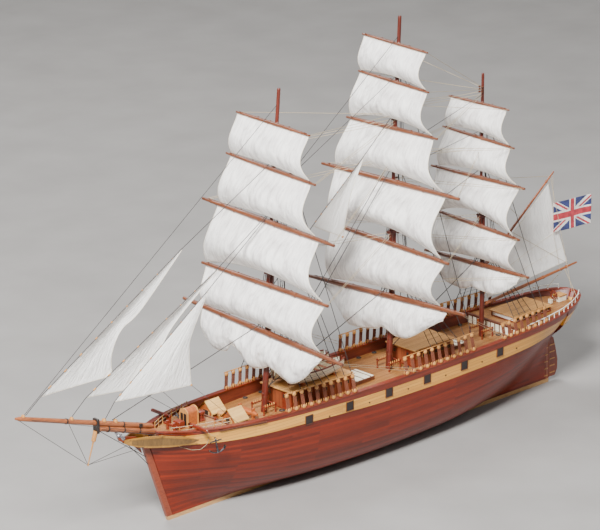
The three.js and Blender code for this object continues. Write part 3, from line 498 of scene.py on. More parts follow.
# %% Planking
def planking(name, light, dark, seam, width, length, roughness=0.4, coat=0.3, uv=False, line=0.16):
    """Strips of varnished wood. width, length and line, the width of a seam, are in mm."""
    made = new_material(name, roughness, Coat_weight=coat, Coat_roughness=0.25)
    tree = made[1]
    where = coordinates(tree, "UV" if uv else "Object")
    strips = add(tree, "TexBrick", {
        "Vector": where, "Color1": (0, 0, 0, 1), "Color2": (1, 1, 1, 1), "Mortar": (0.5, 0.5, 0.5, 1),
        "Scale": 1.0, "Mortar Size": line * MM, "Mortar Smooth": 0.6,
        "Brick Width": length * MM, "Row Height": width * MM,
    }, offset=0.37, offset_frequency=3).outputs
    streaks = clouds(tree, stretch(tree, where, (28, 420, 420)), 1.0, 5.0, Roughness=0.65)
    tone = ramp(tree, blend(tree, 0.6, strips["Color"], streaks), (0.2, dark), (0.8, light))
    # Sockets 0, 6 and 7 of a colour mix are its factor and its two colours
    paint = add(tree, "Mix", {0: strips["Fac"], 6: tone, 7: linear(seam)}, data_type="RGBA").outputs[2]
    groove = bump(tree, strips["Fac"], 0.5, 0.15, invert=True)
    gloss = between(tree, streaks, roughness - 0.08, roughness + 0.1)
    return finish(made, paint, bump(tree, streaks, 0.2, 0.1, groove), gloss)


hull_finish = planking("mahogany_hull_strips", "#922a06", "#501403", "#2c0b02", 4.4, 130, coat=0.1, uv=True)
strake_finish = planking(
    "limewood_strake_strips", "#e8ad50", "#cc8a36", "#8a5220", 4.4, 150, roughness=0.38, coat=0.22, uv=True,
)
deck_finish = planking(
    "lime_deck_strips", "#a9733c", "#7e4f27", "#3c2210", 2.6, 70, roughness=0.5, coat=0.1, line=0.14,
)
roof_strips = planking(
    "golden_roof_strips", "#d9a25c", "#b67c3e", "#70461f", 2.6, 60, roughness=0.42, line=0.14,
)
boat_strakes = planking(
    "cream_boat_strakes", "#faf3df", "#ede1c2", "#a8946c", 1.5, 40, roughness=0.42, uv=True, line=0.14,
)
print(len(bpy.data.materials), "materials with the planking")

# %% [markdown]
# ## Hull
# The shell is one skin from the port edge round the keel to the starboard edge. Its corners are spread
# evenly along each section, so that the strips narrow towards the ends as real ones do. Its last row
# crosses under the deck and closes it. The strake and the rail above are walls that run round the stern
# in one sweep.

# %% Hull shell
HULL_STRIPS, STRIP = 30, 4.4 * MM
RABBET = 0.212  # the planks end on the stem and the keel at this distance from the middle
HALF_CORNERS, FINE_STEPS = 24, 120
PLACES = [k / 8 for k in range(LAST_STATION * 8 + 1)]  # places along the table, exactly on its rows
TABLE_ROWS = [station(p) for p in PLACES]


def section(row, corners):
    """The half section of the hull from the keel to the foot of the strake, evenly spaced."""
    x, breadth, rail_top, _, strake_foot, bottom, fullness = row
    top = (strake_foot - 0.02 - bottom) / (rail_top - bottom)
    fine = []
    for k in range(FINE_STEPS + 1):
        t = top * (k / FINE_STEPS) ** (1 + 1 / fullness)
        half = breadth * sin(pi / 2 * t**fullness)
        fine.append(((half**4 + RABBET**4) ** 0.25, mix(bottom, rail_top, t)))
    run = [0]
    for (y0, z0), (y1, z1) in zip(fine, fine[1:]):
        run.append(run[-1] + hypot(y1 - y0, z1 - z0))
    spaced, k = [], 0
    for c in range(corners + 1):
        goal = run[-1] * c / corners
        while k < FINE_STEPS - 1 and run[k + 1] < goal:
            k += 1
        share = (goal - run[k]) / max(run[k + 1] - run[k], 1e-9)
        spaced.append((mix(fine[k][0], fine[k + 1][0], share), mix(fine[k][1], fine[k + 1][1], share)))
    return spaced


halves = [section(row, HALF_CORNERS) for row in TABLE_ROWS]
around = 2 * HALF_CORNERS + 2


def hull_place(u, v):
    r, c = round(u * (len(TABLE_ROWS) - 1)), round(v * around) % around
    sign, c = (-1, HALF_CORNERS - c) if c <= HALF_CORNERS else (1, c - HALF_CORNERS - 1)
    half, z = halves[r][c]
    point = side(TABLE_ROWS[r], z, sign)
    point.y = sign * half * M
    return point


bm = bmesh.new()
girth = 2 * HULL_STRIPS * STRIP * around / (2 * HALF_CORNERS)
skin(bm, len(TABLE_ROWS) - 1, around, hull_place, (1, girth))
# The strips run with the length of the ship, so U is the true distance along it
map_uv(bm, bm.verts, lambda co, old: (co.x + MIDSHIPS * M, old.y))
close(bm)
piece("hull_shell", bm, hull_finish, ["hull_planking"], crease=40)


# %% Walls round the deck
def wall(foot, head, outset, inset):
    """A wall round the deck edge, open at the bow, from foot(row) to head(row)."""
    bm = bmesh.new()
    rows = [row for row in TABLE_ROWS if row[0] > 1.2 and row[1] > inset + 0.3]

    def ring(row, sign):
        return [
            side(row, foot(row), sign, -outset), side(row, head(row), sign, -outset),
            side(row, head(row), sign, inset), side(row, foot(row), sign, inset),
        ]

    stern = ring(TABLE_ROWS[-1], 1)
    for point in stern:
        point.y = 0
    for point in stern[2:]:
        point.x -= (inset + outset) * M
    rings = [ring(row, -1) for row in rows] + [stern] + [ring(row, 1) for row in reversed(rows)]
    skin(bm, len(rings) - 1, 4, lambda u, v: rings[round(u * (len(rings) - 1))][round(v * 4) % 4])
    map_uv(bm, bm.verts, lambda co, old: (co.x + MIDSHIPS * M, co.z))
    close(bm)
    return bm


CAP = 0.14  # thickness of the rail's cap
bm = wall(lambda row: row[4], lambda row: row[3], 0, BULWARK)
piece("light_strake_strips", bm, strake_finish, ["light_strake"])
bm = wall(lambda row: row[3] + 0.02, lambda row: row[2] - CAP, 0.03, BULWARK)
piece("bulwark_band", bm, rail_wood)
bm = wall(lambda row: row[2] - CAP, lambda row: row[2], RAIL_OVERHANG, RAIL_WIDTH - RAIL_OVERHANG)
piece("rail_cap", bm, rail_wood, ["rail_cap_with_deadeyes"])
bm = wall(lambda row: row[4] + 0.05, lambda row: row[2] - CAP, 0.01 - BULWARK, BULWARK + 0.08)
piece("bulwark_lining", bm, lining_wood)

# %% [markdown]
# ## Decks
# Three slabs of lime strips lie inside the bulwark: the main deck, the forecastle and the poop. Their
# edges follow the hull's side.

# %% Decks
DECK_THICKNESS = 0.12


def deck(name, x0, x1, foot, head, inset, node):
    """A slab inside the bulwark, from x0 to x1. The main deck has no foot of its own and rises at the bow."""
    rows = [row for row in TABLE_ROWS if x0 + 0.1 < row[0] < x1 - 0.1]
    rows = [station_at(x0), *rows, station_at(x1)]

    def place(u, v):
        row, corner = rows[round(u * (len(rows) - 1))], round(v * 4) % 4
        low, high = foot or row[4], max(head, row[4] + DECK_THICKNESS)
        edge = side(row, low, 1, inset)
        half = max(edge.y, 0.1 * M) * (-1 if corner in (0, 1) else 1)
        return Vector((edge.x, half, (low if corner in (0, 3) else high) * M))

    bm = bmesh.new()
    skin(bm, len(rows) - 1, 4, place)
    close(bm)
    piece(name, bm, deck_finish, [node])


deck("main_deck", 9.0, 58.0, None, MAIN_DECK, BULWARK + 0.03, "main_deck_with_bow_houses")
deck("forecastle_planks", 1.7, 9.6, 9.37, FORECASTLE_DECK, 0.55, "forecastle_deck")
deck("poop_planks", 53.2, 65.1, 9.07, POOP_DECK, 0.55, "poop_deck")

# %% [markdown]
# ## Masts
# Each mast is a lower mast, a topmast ahead of it and a topgallant pole, all turned and stained. Tops,
# caps and crosstrees hold them together, and dark hoops go round the lower mast. The table gives where
# the mast's line meets the keel, its rake, and the heights of its fittings.

# %% Mast table
# Columns: x, rake in degrees, top, cap, crosstrees, topmast cap, truck, girth
MASTS = {
    "fore": (16.09, 5.9, 20.7, 24.2, 32.2, 34.0, 44.1, 1.0),
    "main": (35.18, 3.97, 20.5, 24.4, 32.6, 34.6, 48.5, 1.05),
    "mizzen": (50.2, 1.66, 19.3, 22.9, 29.2, 30.9, 39.4, 0.85),
}
DOUBLING = 0.45  # a lower mast's centre stands this far abaft its topmast
YARD_LEAD = 0.6  # a yard's centre stands this far ahead of its mast's line


def on_mast(name, z, ahead=0.0, y=0.0):
    """A place near the line of a mast, at a height."""
    x, rake = MASTS[name][:2]
    return at(x + tan(radians(rake)) * z - ahead, y, z)


def lower_back(name, z):
    """The after face of a lower mast."""
    return on_mast(name, z, -DOUBLING - 0.45)


# %% Mast pieces
# Each profile is pairs of a share of the length and a radius, for a mast of girth 1
LOWER_MAST = [(0, 0.36), (0.02, 0.36), (0.03, 0.33), (0.6, 0.31), (0.75, 0.28), (1, 0.24)]
TOPMAST = [(0, 0.22), (0.3, 0.22), (0.7, 0.19), (1, 0.16)]
POLE = [(0, 0.23), (0.6, 0.215), (0.985, 0.19), (0.995, 0.18), (1, 0.15)]
HOOP, HOOP_PITCH, HOOP_COUNT = 0.16, 1.75, 6


def scaled(profile, radius):
    """A spar's profile with its radii multiplied."""
    return [(share, thick * radius) for share, thick in profile]


def mast_box(bm, name, z, ahead, half_length, half_width, height=0.28):
    """A block round a mast whose upper face lies just under a height."""
    post(bm, ship_x(on_mast(name, z, ahead)), 0, half_length, half_width, z - height, z - 0.02, 0.3)


def top_platform(bm, name, z, half_width, length):
    """The half-round platform of a top: a disc cut off straight abaft the mast."""
    centre = on_mast(name, z, -DOUBLING / 2)
    disc = bmesh.ops.create_circle(
        bm, cap_ends=True, segments=40, radius=half_width * M, matrix=Matrix.Translation(centre)
    )["verts"]
    for vert in disc:
        aft = vert.co.x - centre.x
        vert.co.x = centre.x + (min(length * M, aft * 4) if aft > 0 else aft * 0.62)
        broad = min(abs(vert.co.y) * (1.12 if aft > 0 else 1), half_width * M)
        vert.co.y = copysign(broad, vert.co.y)
    faces = list({f for v in disc for f in v.link_faces})
    made = bmesh.ops.extrude_face_region(bm, geom=faces)["geom"]
    lifted = [g for g in made if isinstance(g, bmesh.types.BMVert)]
    bmesh.ops.translate(bm, vec=by(z=0.16), verts=lifted)


def build_mast(name):
    x, rake, top, cap, trees, head, truck, girth = MASTS[name]
    foot = MAIN_DECK + 0.02
    bm, hoops = fresh(2)
    heel = on_mast(name, foot, -DOUBLING)
    spar(bm, heel, on_mast(name, cap, -DOUBLING), scaled(LOWER_MAST, girth), 20)
    spar(bm, on_mast(name, top - 0.2), on_mast(name, head), scaled(TOPMAST, girth), 16)
    spar(bm, on_mast(name, trees - 0.3, 0.05), on_mast(name, truck), scaled(POLE, girth), 14)
    # Caps, crosstrees, the bolsters under the top, and cleats on the mast's foot
    for z, ahead, half_length, half_width, height in (
        (cap, -DOUBLING / 2, 0.62 * girth, 0.34 * girth, 0.3),
        (trees + 0.1, -0.22, 0.45 * girth, 0.16, 0.28),
        (head, 0.12, 0.36 * girth, 0.2 * girth, 0.26),
        (foot + 2.2, -DOUBLING, 0.44 * girth, 0.12, 0.5),
    ):
        mast_box(bm, name, z, ahead, half_length, half_width, height)
    for z, ahead, half_width, half in (
        (trees, 0.05, 1.15, 0.09), (trees, -0.5, 1.15, 0.09),
        (top - 0.1, 0.75, 1.45, 0.12), (top - 0.1, -0.95, 1.45, 0.12),
    ):
        post(bm, ship_x(on_mast(name, z, ahead)), 0, half, half_width * girth, z - half, z + half, 0.25)
    top_platform(bm, name, top, 1.75 * girth, 1.3 * girth)
    # A low rail abaft the top
    for y in (-1.2, -0.4, 0.4, 1.2):
        a = on_mast(name, top + 0.16, -1.25 * girth, y * girth)
        spar(bm, a, a + by(z=1), (0.05, 0.04), 6)
    spar(bm, *(on_mast(name, top + 1.16, -1.25 * girth, y * girth) for y in (-1.3, 1.3)), 0.06, 6)
    piece(f"{name}_mast_spars", bm, mast_wood, [f"{name}_mast_with_stay"])
    # Hoops round the lower mast and the topmast
    for k in range(HOOP_COUNT):
        z = foot + 1.6 + k * HOOP_PITCH
        ends = (on_mast(name, height, -DOUBLING) for height in (z, z + HOOP))
        spar(hoops, *ends, 0.345 * girth, 20)
    for z in (cap - 0.7, top + 0.5, trees - 0.9, head - 0.7):
        spar(hoops, on_mast(name, z), on_mast(name, z + 0.12), 0.23 * girth, 16)
    piece(f"{name}_mast_hoops", hoops, dark_wood)


for name in MASTS:
    build_mast(name)

# %% [markdown]
# ## Yards
# A square sail hangs from a yard, a spar that tapers from the middle to both arms, with bands that keep
# the sail's head from sliding in. All of it turns with the yards of its mast.

# %% Yard table
# Columns: name, mast, height, length, brace and cant in degrees, radius,
# then the sail's half width at the head and at the foot, the arch of its foot and its belly,
# and the height on the next mast where the braces end, or None for braces to the rail
YARDS = [
    ("course", "fore", 17.75, 25.3, 0, 3.0, 0.33, 9.5, 9.0, 0, 1.2, None),
    ("lower_topsail", "fore", 22.93, 20.1, 0.3, 0.4, 0.29, 9.4, 9.25, 0.45, 1.2, 24.2),
    ("upper_topsail", "fore", 29.77, 20.6, -0.4, 2.0, 0.29, 7.9, 9.2, 1.35, 1.9, 32.8),
    ("topgallant", "fore", 35.53, 14.5, 1.8, 1.5, 0.22, 6.5, 7.4, 0.5, 1.5, 37.0),
    ("royal", "fore", 40.41, 11.6, 0.4, 1.3, 0.18, 5.6, 6.3, 0.35, 1.2, 37.6),
    ("course", "main", 17.17, 24.6, -0.5, -3.0, 0.33, 9.6, 9.1, 0, 1.2, None),
    ("lower_topsail", "main", 23.19, 20.2, 3.0, 0, 0.29, 9.4, 8.6, 0.6, 1.3, 23.0),
    ("upper_topsail", "main", 30.18, 21.0, -1.5, -0.8, 0.29, 8.45, 8.9, 1.8, 2.0, 31.0),
    ("topgallant", "main", 36.15, 14.2, 0.1, -1.6, 0.22, 6.5, 8.2, 1.0, 1.6, 37.3),
    ("royal", "main", 41.33, 11.6, 3.0, 0.4, 0.18, 5.5, 6.3, 0.95, 1.2, 37.6),
    ("skysail", "main", 45.57, 10.4, 1.5, 0.8, 0.16, 4.9, 5.3, 0.5, 1.0, 37.9),
    ("crossjack", "mizzen", 17.33, 16.8, 1.2, -2.4, 0.26, 7.0, 6.6, 0, 0.9, 18.6),
    ("lower_topsail", "mizzen", 21.88, 14.6, 5.0, -0.1, 0.23, 6.8, 6.4, 0.5, 1.0, 24.0),
    ("upper_topsail", "mizzen", 27.5, 14.6, -0.4, -1.4, 0.22, 6.4, 6.2, 1.5, 1.5, 30.4),
    ("topgallant", "mizzen", 32.13, 11.7, 2.5, 0.3, 0.18, 5.2, 6.0, 0.7, 1.2, 33.6),
    ("royal", "mizzen", 36.1, 9.6, 1.3, -1.7, 0.15, 4.4, 5.0, 0.6, 1.0, 38.6),
]


class Yard:
    """A yard's place and directions, worked out from its row of the table."""

    def __init__(self, row):
        self.name, self.mast, self.height, self.length, brace, cant, self.radius = row[:7]
        self.head, self.foot, self.arch, self.belly, self.brace_end = row[7:]
        b, c = radians(brace), radians(cant)
        self.centre = on_mast(self.mast, self.height, YARD_LEAD)
        self.outward = Vector((sin(b) * cos(c), cos(b) * cos(c), sin(c)))
        self.ahead = Vector((-cos(b), sin(b), 0))
        self.body = f"{self.mast}_yards"
        self.title = f"{self.mast}_{self.name}"

    def out(self, reach, up=0.0, ahead=0.0):
        """A place on the yard, reach ship metres to starboard of its middle."""
        return self.centre + self.outward * reach * M + self.ahead * ahead * M + by(z=up)


yards = [Yard(row) for row in YARDS]

# %% Yard pieces
# Pairs of a share of the length and a radius, for a yard of radius 1
YARD_TAPER = [
    (0, 0.54), (0.004, 0.6), (0.06, 0.64), (0.07, 0.68), (0.2, 0.86), (0.35, 0.97), (0.5, 1), (0.65, 0.97),
    (0.8, 0.86), (0.93, 0.68), (0.94, 0.64), (0.996, 0.6), (1, 0.54),
]
YARD_BANDS = ((-0.86, 0.66), (-0.5, 0.95), (-0.12, 1.03), (0.12, 1.03), (0.5, 0.95), (0.86, 0.66))
BAND = [(0, 1), (0.1, 1.09), (0.9, 1.09), (1, 1)]
for yard in yards:
    half, bm = yard.length / 2, bmesh.new()
    spar(bm, yard.out(-half), yard.out(half), scaled(YARD_TAPER, yard.radius), 14)
    for share, thick in YARD_BANDS:
        ends = (yard.out(share * half + shift) for shift in (-0.12, 0.12))
        spar(bm, *ends, scaled(BAND, thick * yard.radius), 14)
    # The truss that holds the yard to its mast
    truss = scaled([(0, 0.5), (0.4, 0.42), (1, 0.42)], yard.radius)
    spar(bm, yard.out(0), on_mast(yard.mast, yard.height, 0.16), truss, 8)
    piece(f"{yard.title}_spar", bm, yard_wood, [f"{yard.title}_yard"], yard.body)

# %% [markdown]
# ## Sails
# The cloth is stiffened, which leaves soft upright creases. Each sail is a skin between its yard and the
# yard below, pushed forward by a belly, with creases as real waves of the mesh. A Solidify modifier
# gives it the thickness of doubled cotton, and a bolt rope runs round its edge.

# %% Sailcloth
def sailcloth(name, light, shade):
    """Stiffened cotton: a plain weave, drawn 0.9 mm wide so that it shows, and creases 5 mm apart. The second
    colour is painted shade in the creases' valleys, blended with a random mottle of tone.
    """
    made = new_material(name, 0.82, Sheen_weight=0.12, Sheen_roughness=0.5)
    tree = made[1]
    where = coordinates(tree, "UV")
    crease = clouds(tree, stretch(tree, where, (170, 34, 1)), 1.0, 5.0, Roughness=0.6, Distortion=1.2)
    # Where the crease noise is low, in a crease's valley, the tone turns to the shade colour: painted shade
    tone = ramp(tree, blend(tree, 0.4, crease, clouds(tree, where, 30.0)), (0.36, shade), (0.56, light))
    warp, weft = threads(tree, where, 0.9, "X"), threads(tree, where, 0.9, "Y")
    weave = add(tree, "Math", {0: warp, 1: weft}, operation="ADD").outputs["Value"]
    return finish(made, tone, bump(tree, crease, 0.8, 2, bump(tree, weave, 0.12, 0.1)))


# The second colour of each cloth is the painted shade in its creases
cotton = sailcloth("stiffened_cotton_sail", "#fcf9f4", "#d0cac7")
white_cotton = sailcloth("bleached_cotton_jib", "#fbf9f4", "#efebe6")
bolt_rope = sailcloth("cotton_bolt_rope", "#efe6d4", "#d8c9ae")
print("sailcloth ready")

# %% Sail shapes
SAIL_THICKNESS = 0.5 * MM
CELL = 2.2 * MM  # size of a mesh cell, small enough for a crease
CREASE_PITCH = 11 * MM
HEM_STEPS = 40
HANG, FOOT_GAP, HOLLOW, SHEER, LEECH = 0.04, 0.08, 0.05, 0.05, 0.2


def creases(u, v, width, seed, depth):
    """How far the cloth stands out at a place: soft upright waves that die at the head."""
    x = u * width / CREASE_PITCH
    wave = noise.noise(Vector((x, v * 2.4, seed))) + 0.6 * noise.noise(Vector((1.9 * x, v * 6, seed + 9)))
    return depth * 2 * wave * sin(pi * min(1, 0.12 + v * 0.95)) ** 0.5


def measure(shape, columns=24, rows=24):
    """The flat size that a sail was cut to: width and length along the cloth, and area."""
    grid = [[shape(c / columns, r / rows) for c in range(columns + 1)] for r in range(rows + 1)]
    widths = [sum((b - a).length for a, b in zip(row, row[1:])) for row in grid]
    lengths = [sum((b - a).length for a, b in zip(line, line[1:])) for line in zip(*grid)]
    area = 0
    for r in range(rows):
        for c in range(columns):
            a, b, d, e = grid[r][c], grid[r][c + 1], grid[r + 1][c + 1], grid[r + 1][c]
            area += ((b - a).cross(d - a).length + (d - a).cross(e - a).length) / 2
    return max(widths), max(lengths), area


def thicken(obj, thickness):
    solid = obj.modifiers.new("cloth_thickness", "SOLIDIFY")
    solid.thickness, solid.offset = thickness, 0


def build_sail(name, shape, outward, body, material, nodes, seed, depth):
    """A sail from shape(u, v), with creases along outward, its bolt rope and its flat size."""
    width, length, area = measure(shape)
    columns, rows = max(8, round(width / CELL)), max(8, round(length / (CELL * 1.3)))
    bm, edge = fresh(2)

    def place(u, v):
        rim = min(1, 12 * u, 12 * (1 - u))
        return shape(u, v) + outward * creases(u, v, width, seed, depth) * rim

    skin(bm, columns, rows, place, (width, length))
    sail = piece(name, bm, material, nodes, body, crease=80)
    thicken(sail, SAIL_THICKNESS)
    shares = [k / HEM_STEPS for k in range(HEM_STEPS)]
    run = [place(s, 0) for s in shares] + [place(1, s) for s in shares]
    run += [place(1 - s, 1) for s in shares] + [place(0, 1 - s) for s in shares]
    bent_rope(edge, run, 0.42 * MM, 6, closed=True)
    hem = piece(f"{name}_bolt_rope", edge, bolt_rope, body=body)
    held = width * length  # a cut sail is never less than about a third of the oblong that holds it
    round(min(max(area, 0.31 * held), held), 6)


def square_shape(upper, lower):
    """The surface of a square sail set between two yards."""
    edge = LEECH * (upper.height - lower.height)

    def shape(u, v):
        s = 2 * u - 1
        reach = s * mix(upper.head, upper.foot, v) * (1 - HOLLOW * sin(pi * v))
        head = upper.out(reach, -upper.radius - HANG)
        foot = lower.out(reach, lower.radius + FOOT_GAP + upper.arch * (1 - s * s))
        middle = (1 - abs(s) ** 2.5) * sin(0.82 * pi * v**0.9)
        belly = (1.25 * upper.belly - edge) * middle + edge * sin(pi * v**1.2)
        return head.lerp(foot, v) + upper.ahead * (SHEER + belly) * M

    return shape


# %% [markdown]
# The lowest sails hang loose in lobes, because their lower corners are hauled up towards the yard. The
# depth of the foot is a table from the port end to the starboard one, and folds fan out from each place
# where the foot is gathered.

# %% Hauled-up sails
# Where each foot is gathered, and pairs of a place along the foot and its depth
CLEWED = {
    "fore_course": ((-0.23, 0.45), [
        (-1, 0.6), (-0.8, 2.6), (-0.6, 3.8), (-0.4, 3.8), (-0.23, 2.9), (-0.07, 3.6),
        (0.12, 3.9), (0.3, 3.4), (0.45, 2.2), (0.6, 3.5), (0.8, 3.6), (1, 2.8),
    ]),
    "main_course": ((-0.05,), [
        (-1, 0.9), (-0.85, 1.6), (-0.65, 2.7), (-0.45, 3.7), (-0.2, 3.9), (-0.05, 3.0),
        (0.1, 3.6), (0.25, 3.8), (0.4, 3.9), (0.6, 3.8), (0.8, 2.2), (1, 0.6),
    ]),
    "mizzen_crossjack": ((-0.06,), [
        (-1, 0.8), (-0.8, 1.7), (-0.58, 2.4), (-0.38, 2.7), (-0.2, 2.7), (-0.06, 2.3),
        (0.1, 2.5), (0.25, 2.9), (0.39, 2.9), (0.6, 2.8), (0.83, 2.3), (1, 1.4),
    ]),
}


def neighbours(line, k):
    """The four items round the gap after item k, with the ends doubled."""
    return line[max(k - 1, 0)], line[k], line[k + 1], line[min(k + 2, len(line) - 1)]


def smooth_table(table, x):
    """A value from a table of pairs, on a smooth curve through them."""
    k = 0
    while k < len(table) - 2 and table[k + 1][0] < x:
        k += 1
    rows = neighbours(table, k)
    return through(*(row[1] for row in rows), (x - rows[1][0]) / (rows[2][0] - rows[1][0]))


def clewed_shape(yard):
    """The surface of a sail whose lower corners are hauled up."""
    gathers, table = CLEWED[yard.title]

    def shape(u, v):
        s = 2 * u - 1
        depth = smooth_table(table, s)
        point = yard.out(s * mix(yard.head, yard.foot, v), -yard.radius - HANG - depth * v)
        fullness = sin(pi * 0.85 * v) * (depth / 4) * (1 - 0.4 * s**4)
        folds = 0
        for g in gathers:  # folds spread from each gather, sharper towards the foot
            d = abs(s - g)
            folds += 0.5 * cos(d * (30 - 14 * v)) * exp(-d * 3.6) * v**1.2
        return point + yard.ahead * (SHEER + yard.belly * fullness + folds * 0.8) * M

    return shape


# %% Square sails
for k, yard in enumerate(yards):
    hauled = yard.title in CLEWED
    shape = clewed_shape(yard) if hauled else square_shape(yard, yards[k - 1])
    build_sail(
        f"{yard.title}_cloth", shape, yard.ahead, yard.body, cotton, [f"{yard.title}_sail"],
        seed=3.7 * k, depth=(1.2 if hauled else 0.9) * MM,
    )

# %% [markdown]
# ## Keel and stem
# The keel, the stem and the sternpost keep their CAD shape. The stem is dark mahogany like the hull, and
# the keel under it is a paler strip, so one material changes its tone where the keel begins.

# %% Keel material
def keel_finish():
    """Two varnished woods: tan below the height of the keel, mahogany above it."""
    made = new_material("mahogany_stem_on_tan_keel", 0.36, Coat_weight=0.35, Coat_roughness=0.25)
    tree, top = made[1], KEEL_DEPTH * M
    where = coordinates(tree)
    height = add(tree, "SeparateXYZ", {"Vector": where}).outputs["Z"]
    streaks = clouds(tree, stretch(tree, where, (30, 420, 300)), detail=5.0, Roughness=0.6)
    keel = ramp(tree, streaks, (0.3, "#a8794a"), (0.7, "#d0a46c"))
    stem = ramp(tree, streaks, (0.3, "#6d2c17"), (0.7, "#9a4627"))
    step = add(tree, "MapRange", {"Value": height, "From Min": top, "From Max": top + 0.3 * MM})
    both = add(tree, "Mix", {0: step.outputs["Result"], 6: keel, 7: stem}, data_type="RGBA").outputs[2]
    return finish(made, both, bump(tree, streaks, 0.25, 0.1))


def dress(node, material):
    """Give a CAD node that keeps its shape a material."""
    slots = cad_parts[node].data.materials
    slots.clear()
    slots.append(material)


dress("keel_stem_and_sternpost", keel_finish())
print("keel dressed")

# %% [markdown]
# ## Cord, metal and paint
# The rigging is laid cotton cord: dark grey for what stands fixed, tan for what runs. The anchors are
# cast metal blackened in a bath, which leaves it dark with brighter edges. The hatches and rails are
# brushed with cream and white paint.

# %% Cord, metal and paint materials
def cordage(name, light, dark):
    """Laid cotton cord. Its strands are drawn 0.7 mm apart, and slant across it."""
    made = new_material(name, 0.78)
    tree = made[1]
    strands = threads(tree, coordinates(tree), 0.7, "DIAGONAL", Distortion=0.6, Detail=1.0)
    return finish(made, ramp(tree, strands, (0.2, dark), (0.8, light)), bump(tree, strands, 0.5, 0.15))


def metal(name, light, dark, roughness, metallic=1.0):
    """Cast metal: a cloudy tone 2 mm across, and a surface that is rougher where it is darker."""
    made = new_material(name, roughness, Metallic=metallic)
    tree = made[1]
    cloud = clouds(tree, coordinates(tree), 1 / (2 * MM), 4.0)
    tone = ramp(tree, cloud, (0.35, dark), (0.65, light))
    sheen = between(tree, cloud, roughness + 0.12, roughness - 0.1)
    return finish(made, tone, bump(tree, cloud, 0.3, 0.1), sheen)


def paint(name, light, dark):
    """Brushed paint: faint strokes 1 mm wide along the ship, over soft clouds of tone."""
    made = new_material(name, 0.45, Coat_weight=0.15)
    tree = made[1]
    where = coordinates(tree)
    brush = clouds(tree, stretch(tree, where, (60, 900, 900)), detail=3.0)
    tone = ramp(tree, blend(tree, 0.5, brush, clouds(tree, where, 90.0)), (0.35, dark), (0.6, light))
    return finish(made, tone, bump(tree, brush, 0.2, 0.08))


dark_cord = cordage("dark_waxed_cord", "#453f3c", "#1f1c1b")
tan_cord = cordage("natural_cotton_cord", "#cdbb9c", "#9d8763")
brown_cord = cordage("brown_lanyard_cord", "#8a4c30", "#4c2416")
iron = metal("blackened_cast_anchor", "#77767a", "#3b3a3d", 0.42)
brass = metal("aged_brass_fitting", "#c79a4b", "#8a6427", 0.36)
chain_metal = metal("steel_chain", "#a7a6a4", "#6d6c6c", 0.34)
figure_metal = metal("cast_white_metal_figure", "#b9b7ba", "#5d5c63", 0.4, metallic=0.6)
cream = paint("cream_brushed_paint", "#f7efda", "#e8dcbd")
white_paint = paint("white_brushed_paint", "#faf8f1", "#e6e1d2")
print(len(bpy.data.materials), "materials in all but the flag's")

# %% [markdown]
# ## Gunports
# Six square ports a side stand in the lower part of the strake, each a dark lid in a thin frame. After each
# of them a small dark plug stands for a scupper: its dark colour is painted shade in the scupper's opening.

# %% Gunports
PORT_X, PORT_PITCH, PORT_COUNT, PORT_Z, PORT_SIZE = 19.16, 5.88, 6, 8.45, 1.0
PORT_FRAME, PORT_DEPTH = 0.05, 0.16
SCUPPER, SCUPPER_DROP = 0.09, 0.4


def side_frame(x, z, sign):
    """The hull's side at a place: a matrix with X along the side, Y up it and Z outwards."""
    point = side_at(x, z, sign)
    along = (side_at(x + 0.2, z, sign) - point).normalized()
    rise = (side_at(x, z + 0.2, sign) - point).normalized()
    return basis(along, rise, along.cross(rise).normalized() * -sign, point)


def board(bm, frame_matrix, size, shift=(0, 0, 0), bevel=0.0):
    """A small board in a local frame. Its size and its shift from the middle are in ship metres."""
    box(bm, frame_matrix @ Matrix.Translation(by(*shift)) @ Matrix.Diagonal((*by(*size), 1)), bevel)


lids, frames = fresh(2)
for sign in (-1, 1):
    for k in range(PORT_COUNT):
        x = PORT_X + k * PORT_PITCH
        here = side_frame(x, PORT_Z, sign)
        board(lids, here, (PORT_SIZE, PORT_SIZE, PORT_DEPTH / 2))
        long = PORT_SIZE + PORT_FRAME
        for shift in (-PORT_SIZE / 2, PORT_SIZE / 2):
            board(frames, here, (PORT_FRAME, long, PORT_DEPTH), (shift, 0, 0))
            board(frames, here, (long, PORT_FRAME, PORT_DEPTH), (0, shift, 0))
        # A scupper is a short dark plug, not an opening: its dark colour is painted shade
        scupper_shade_spot = side_frame(x + PORT_PITCH / 2, PORT_Z - SCUPPER_DROP, sign)
        out = scupper_shade_spot.to_3x3() @ by(z=0.05)
        spar(lids, scupper_shade_spot.translation - out, scupper_shade_spot.translation + out * 0.7, SCUPPER, 10)
# This piece also holds the scupper plugs, whose dark colour is painted shade
piece("gunport_lids", lids, ebony)
piece("gunport_frames", frames, dark_wood)

# %% [markdown]
# ## Shrouds
# Each mast has a row of deadeyes on both sides: pairs of wooden discs laced together by a lanyard above
# the rail. A shroud rises from each pair, apart from the first few, which only take halyards. The next
# four or five shrouds go to the lower masthead and carry the ratlines. The others are backstays to the
# topmast head and to the topgallant pole. Topmast shrouds stand on the edges of each top, and
# topgallant shrouds on the crosstrees.

# %% Shroud tables
# Columns: x of the first pair, count, height of a pair, how many pairs stand ahead of the
# shrouds, count of shrouds to the lower masthead
DEADEYES = {"fore": (16.5, 10, 1.9, 2, 5), "main": (33.85, 11, 1.9, 4, 5), "mizzen": (49.5, 8, 1.7, 2, 4)}
DEADEYE, DEADEYE_PITCH = 0.26, 1.05
SHROUD, RATLINE, LANYARD = 0.5 * MM, 0.2 * MM, 0.8 * MM
RUNG = 0.5  # height between two ratlines


def ladder(bm, shrouds, low, high):
    """Ratlines between two heights, tied to each shroud of a row."""
    z = low
    while z < high:
        ties = [a.lerp(b, (z * M - a.z) / (b.z - a.z)) for a, b in shrouds]
        bent_rope(bm, ties, RATLINE, 4)
        z += RUNG


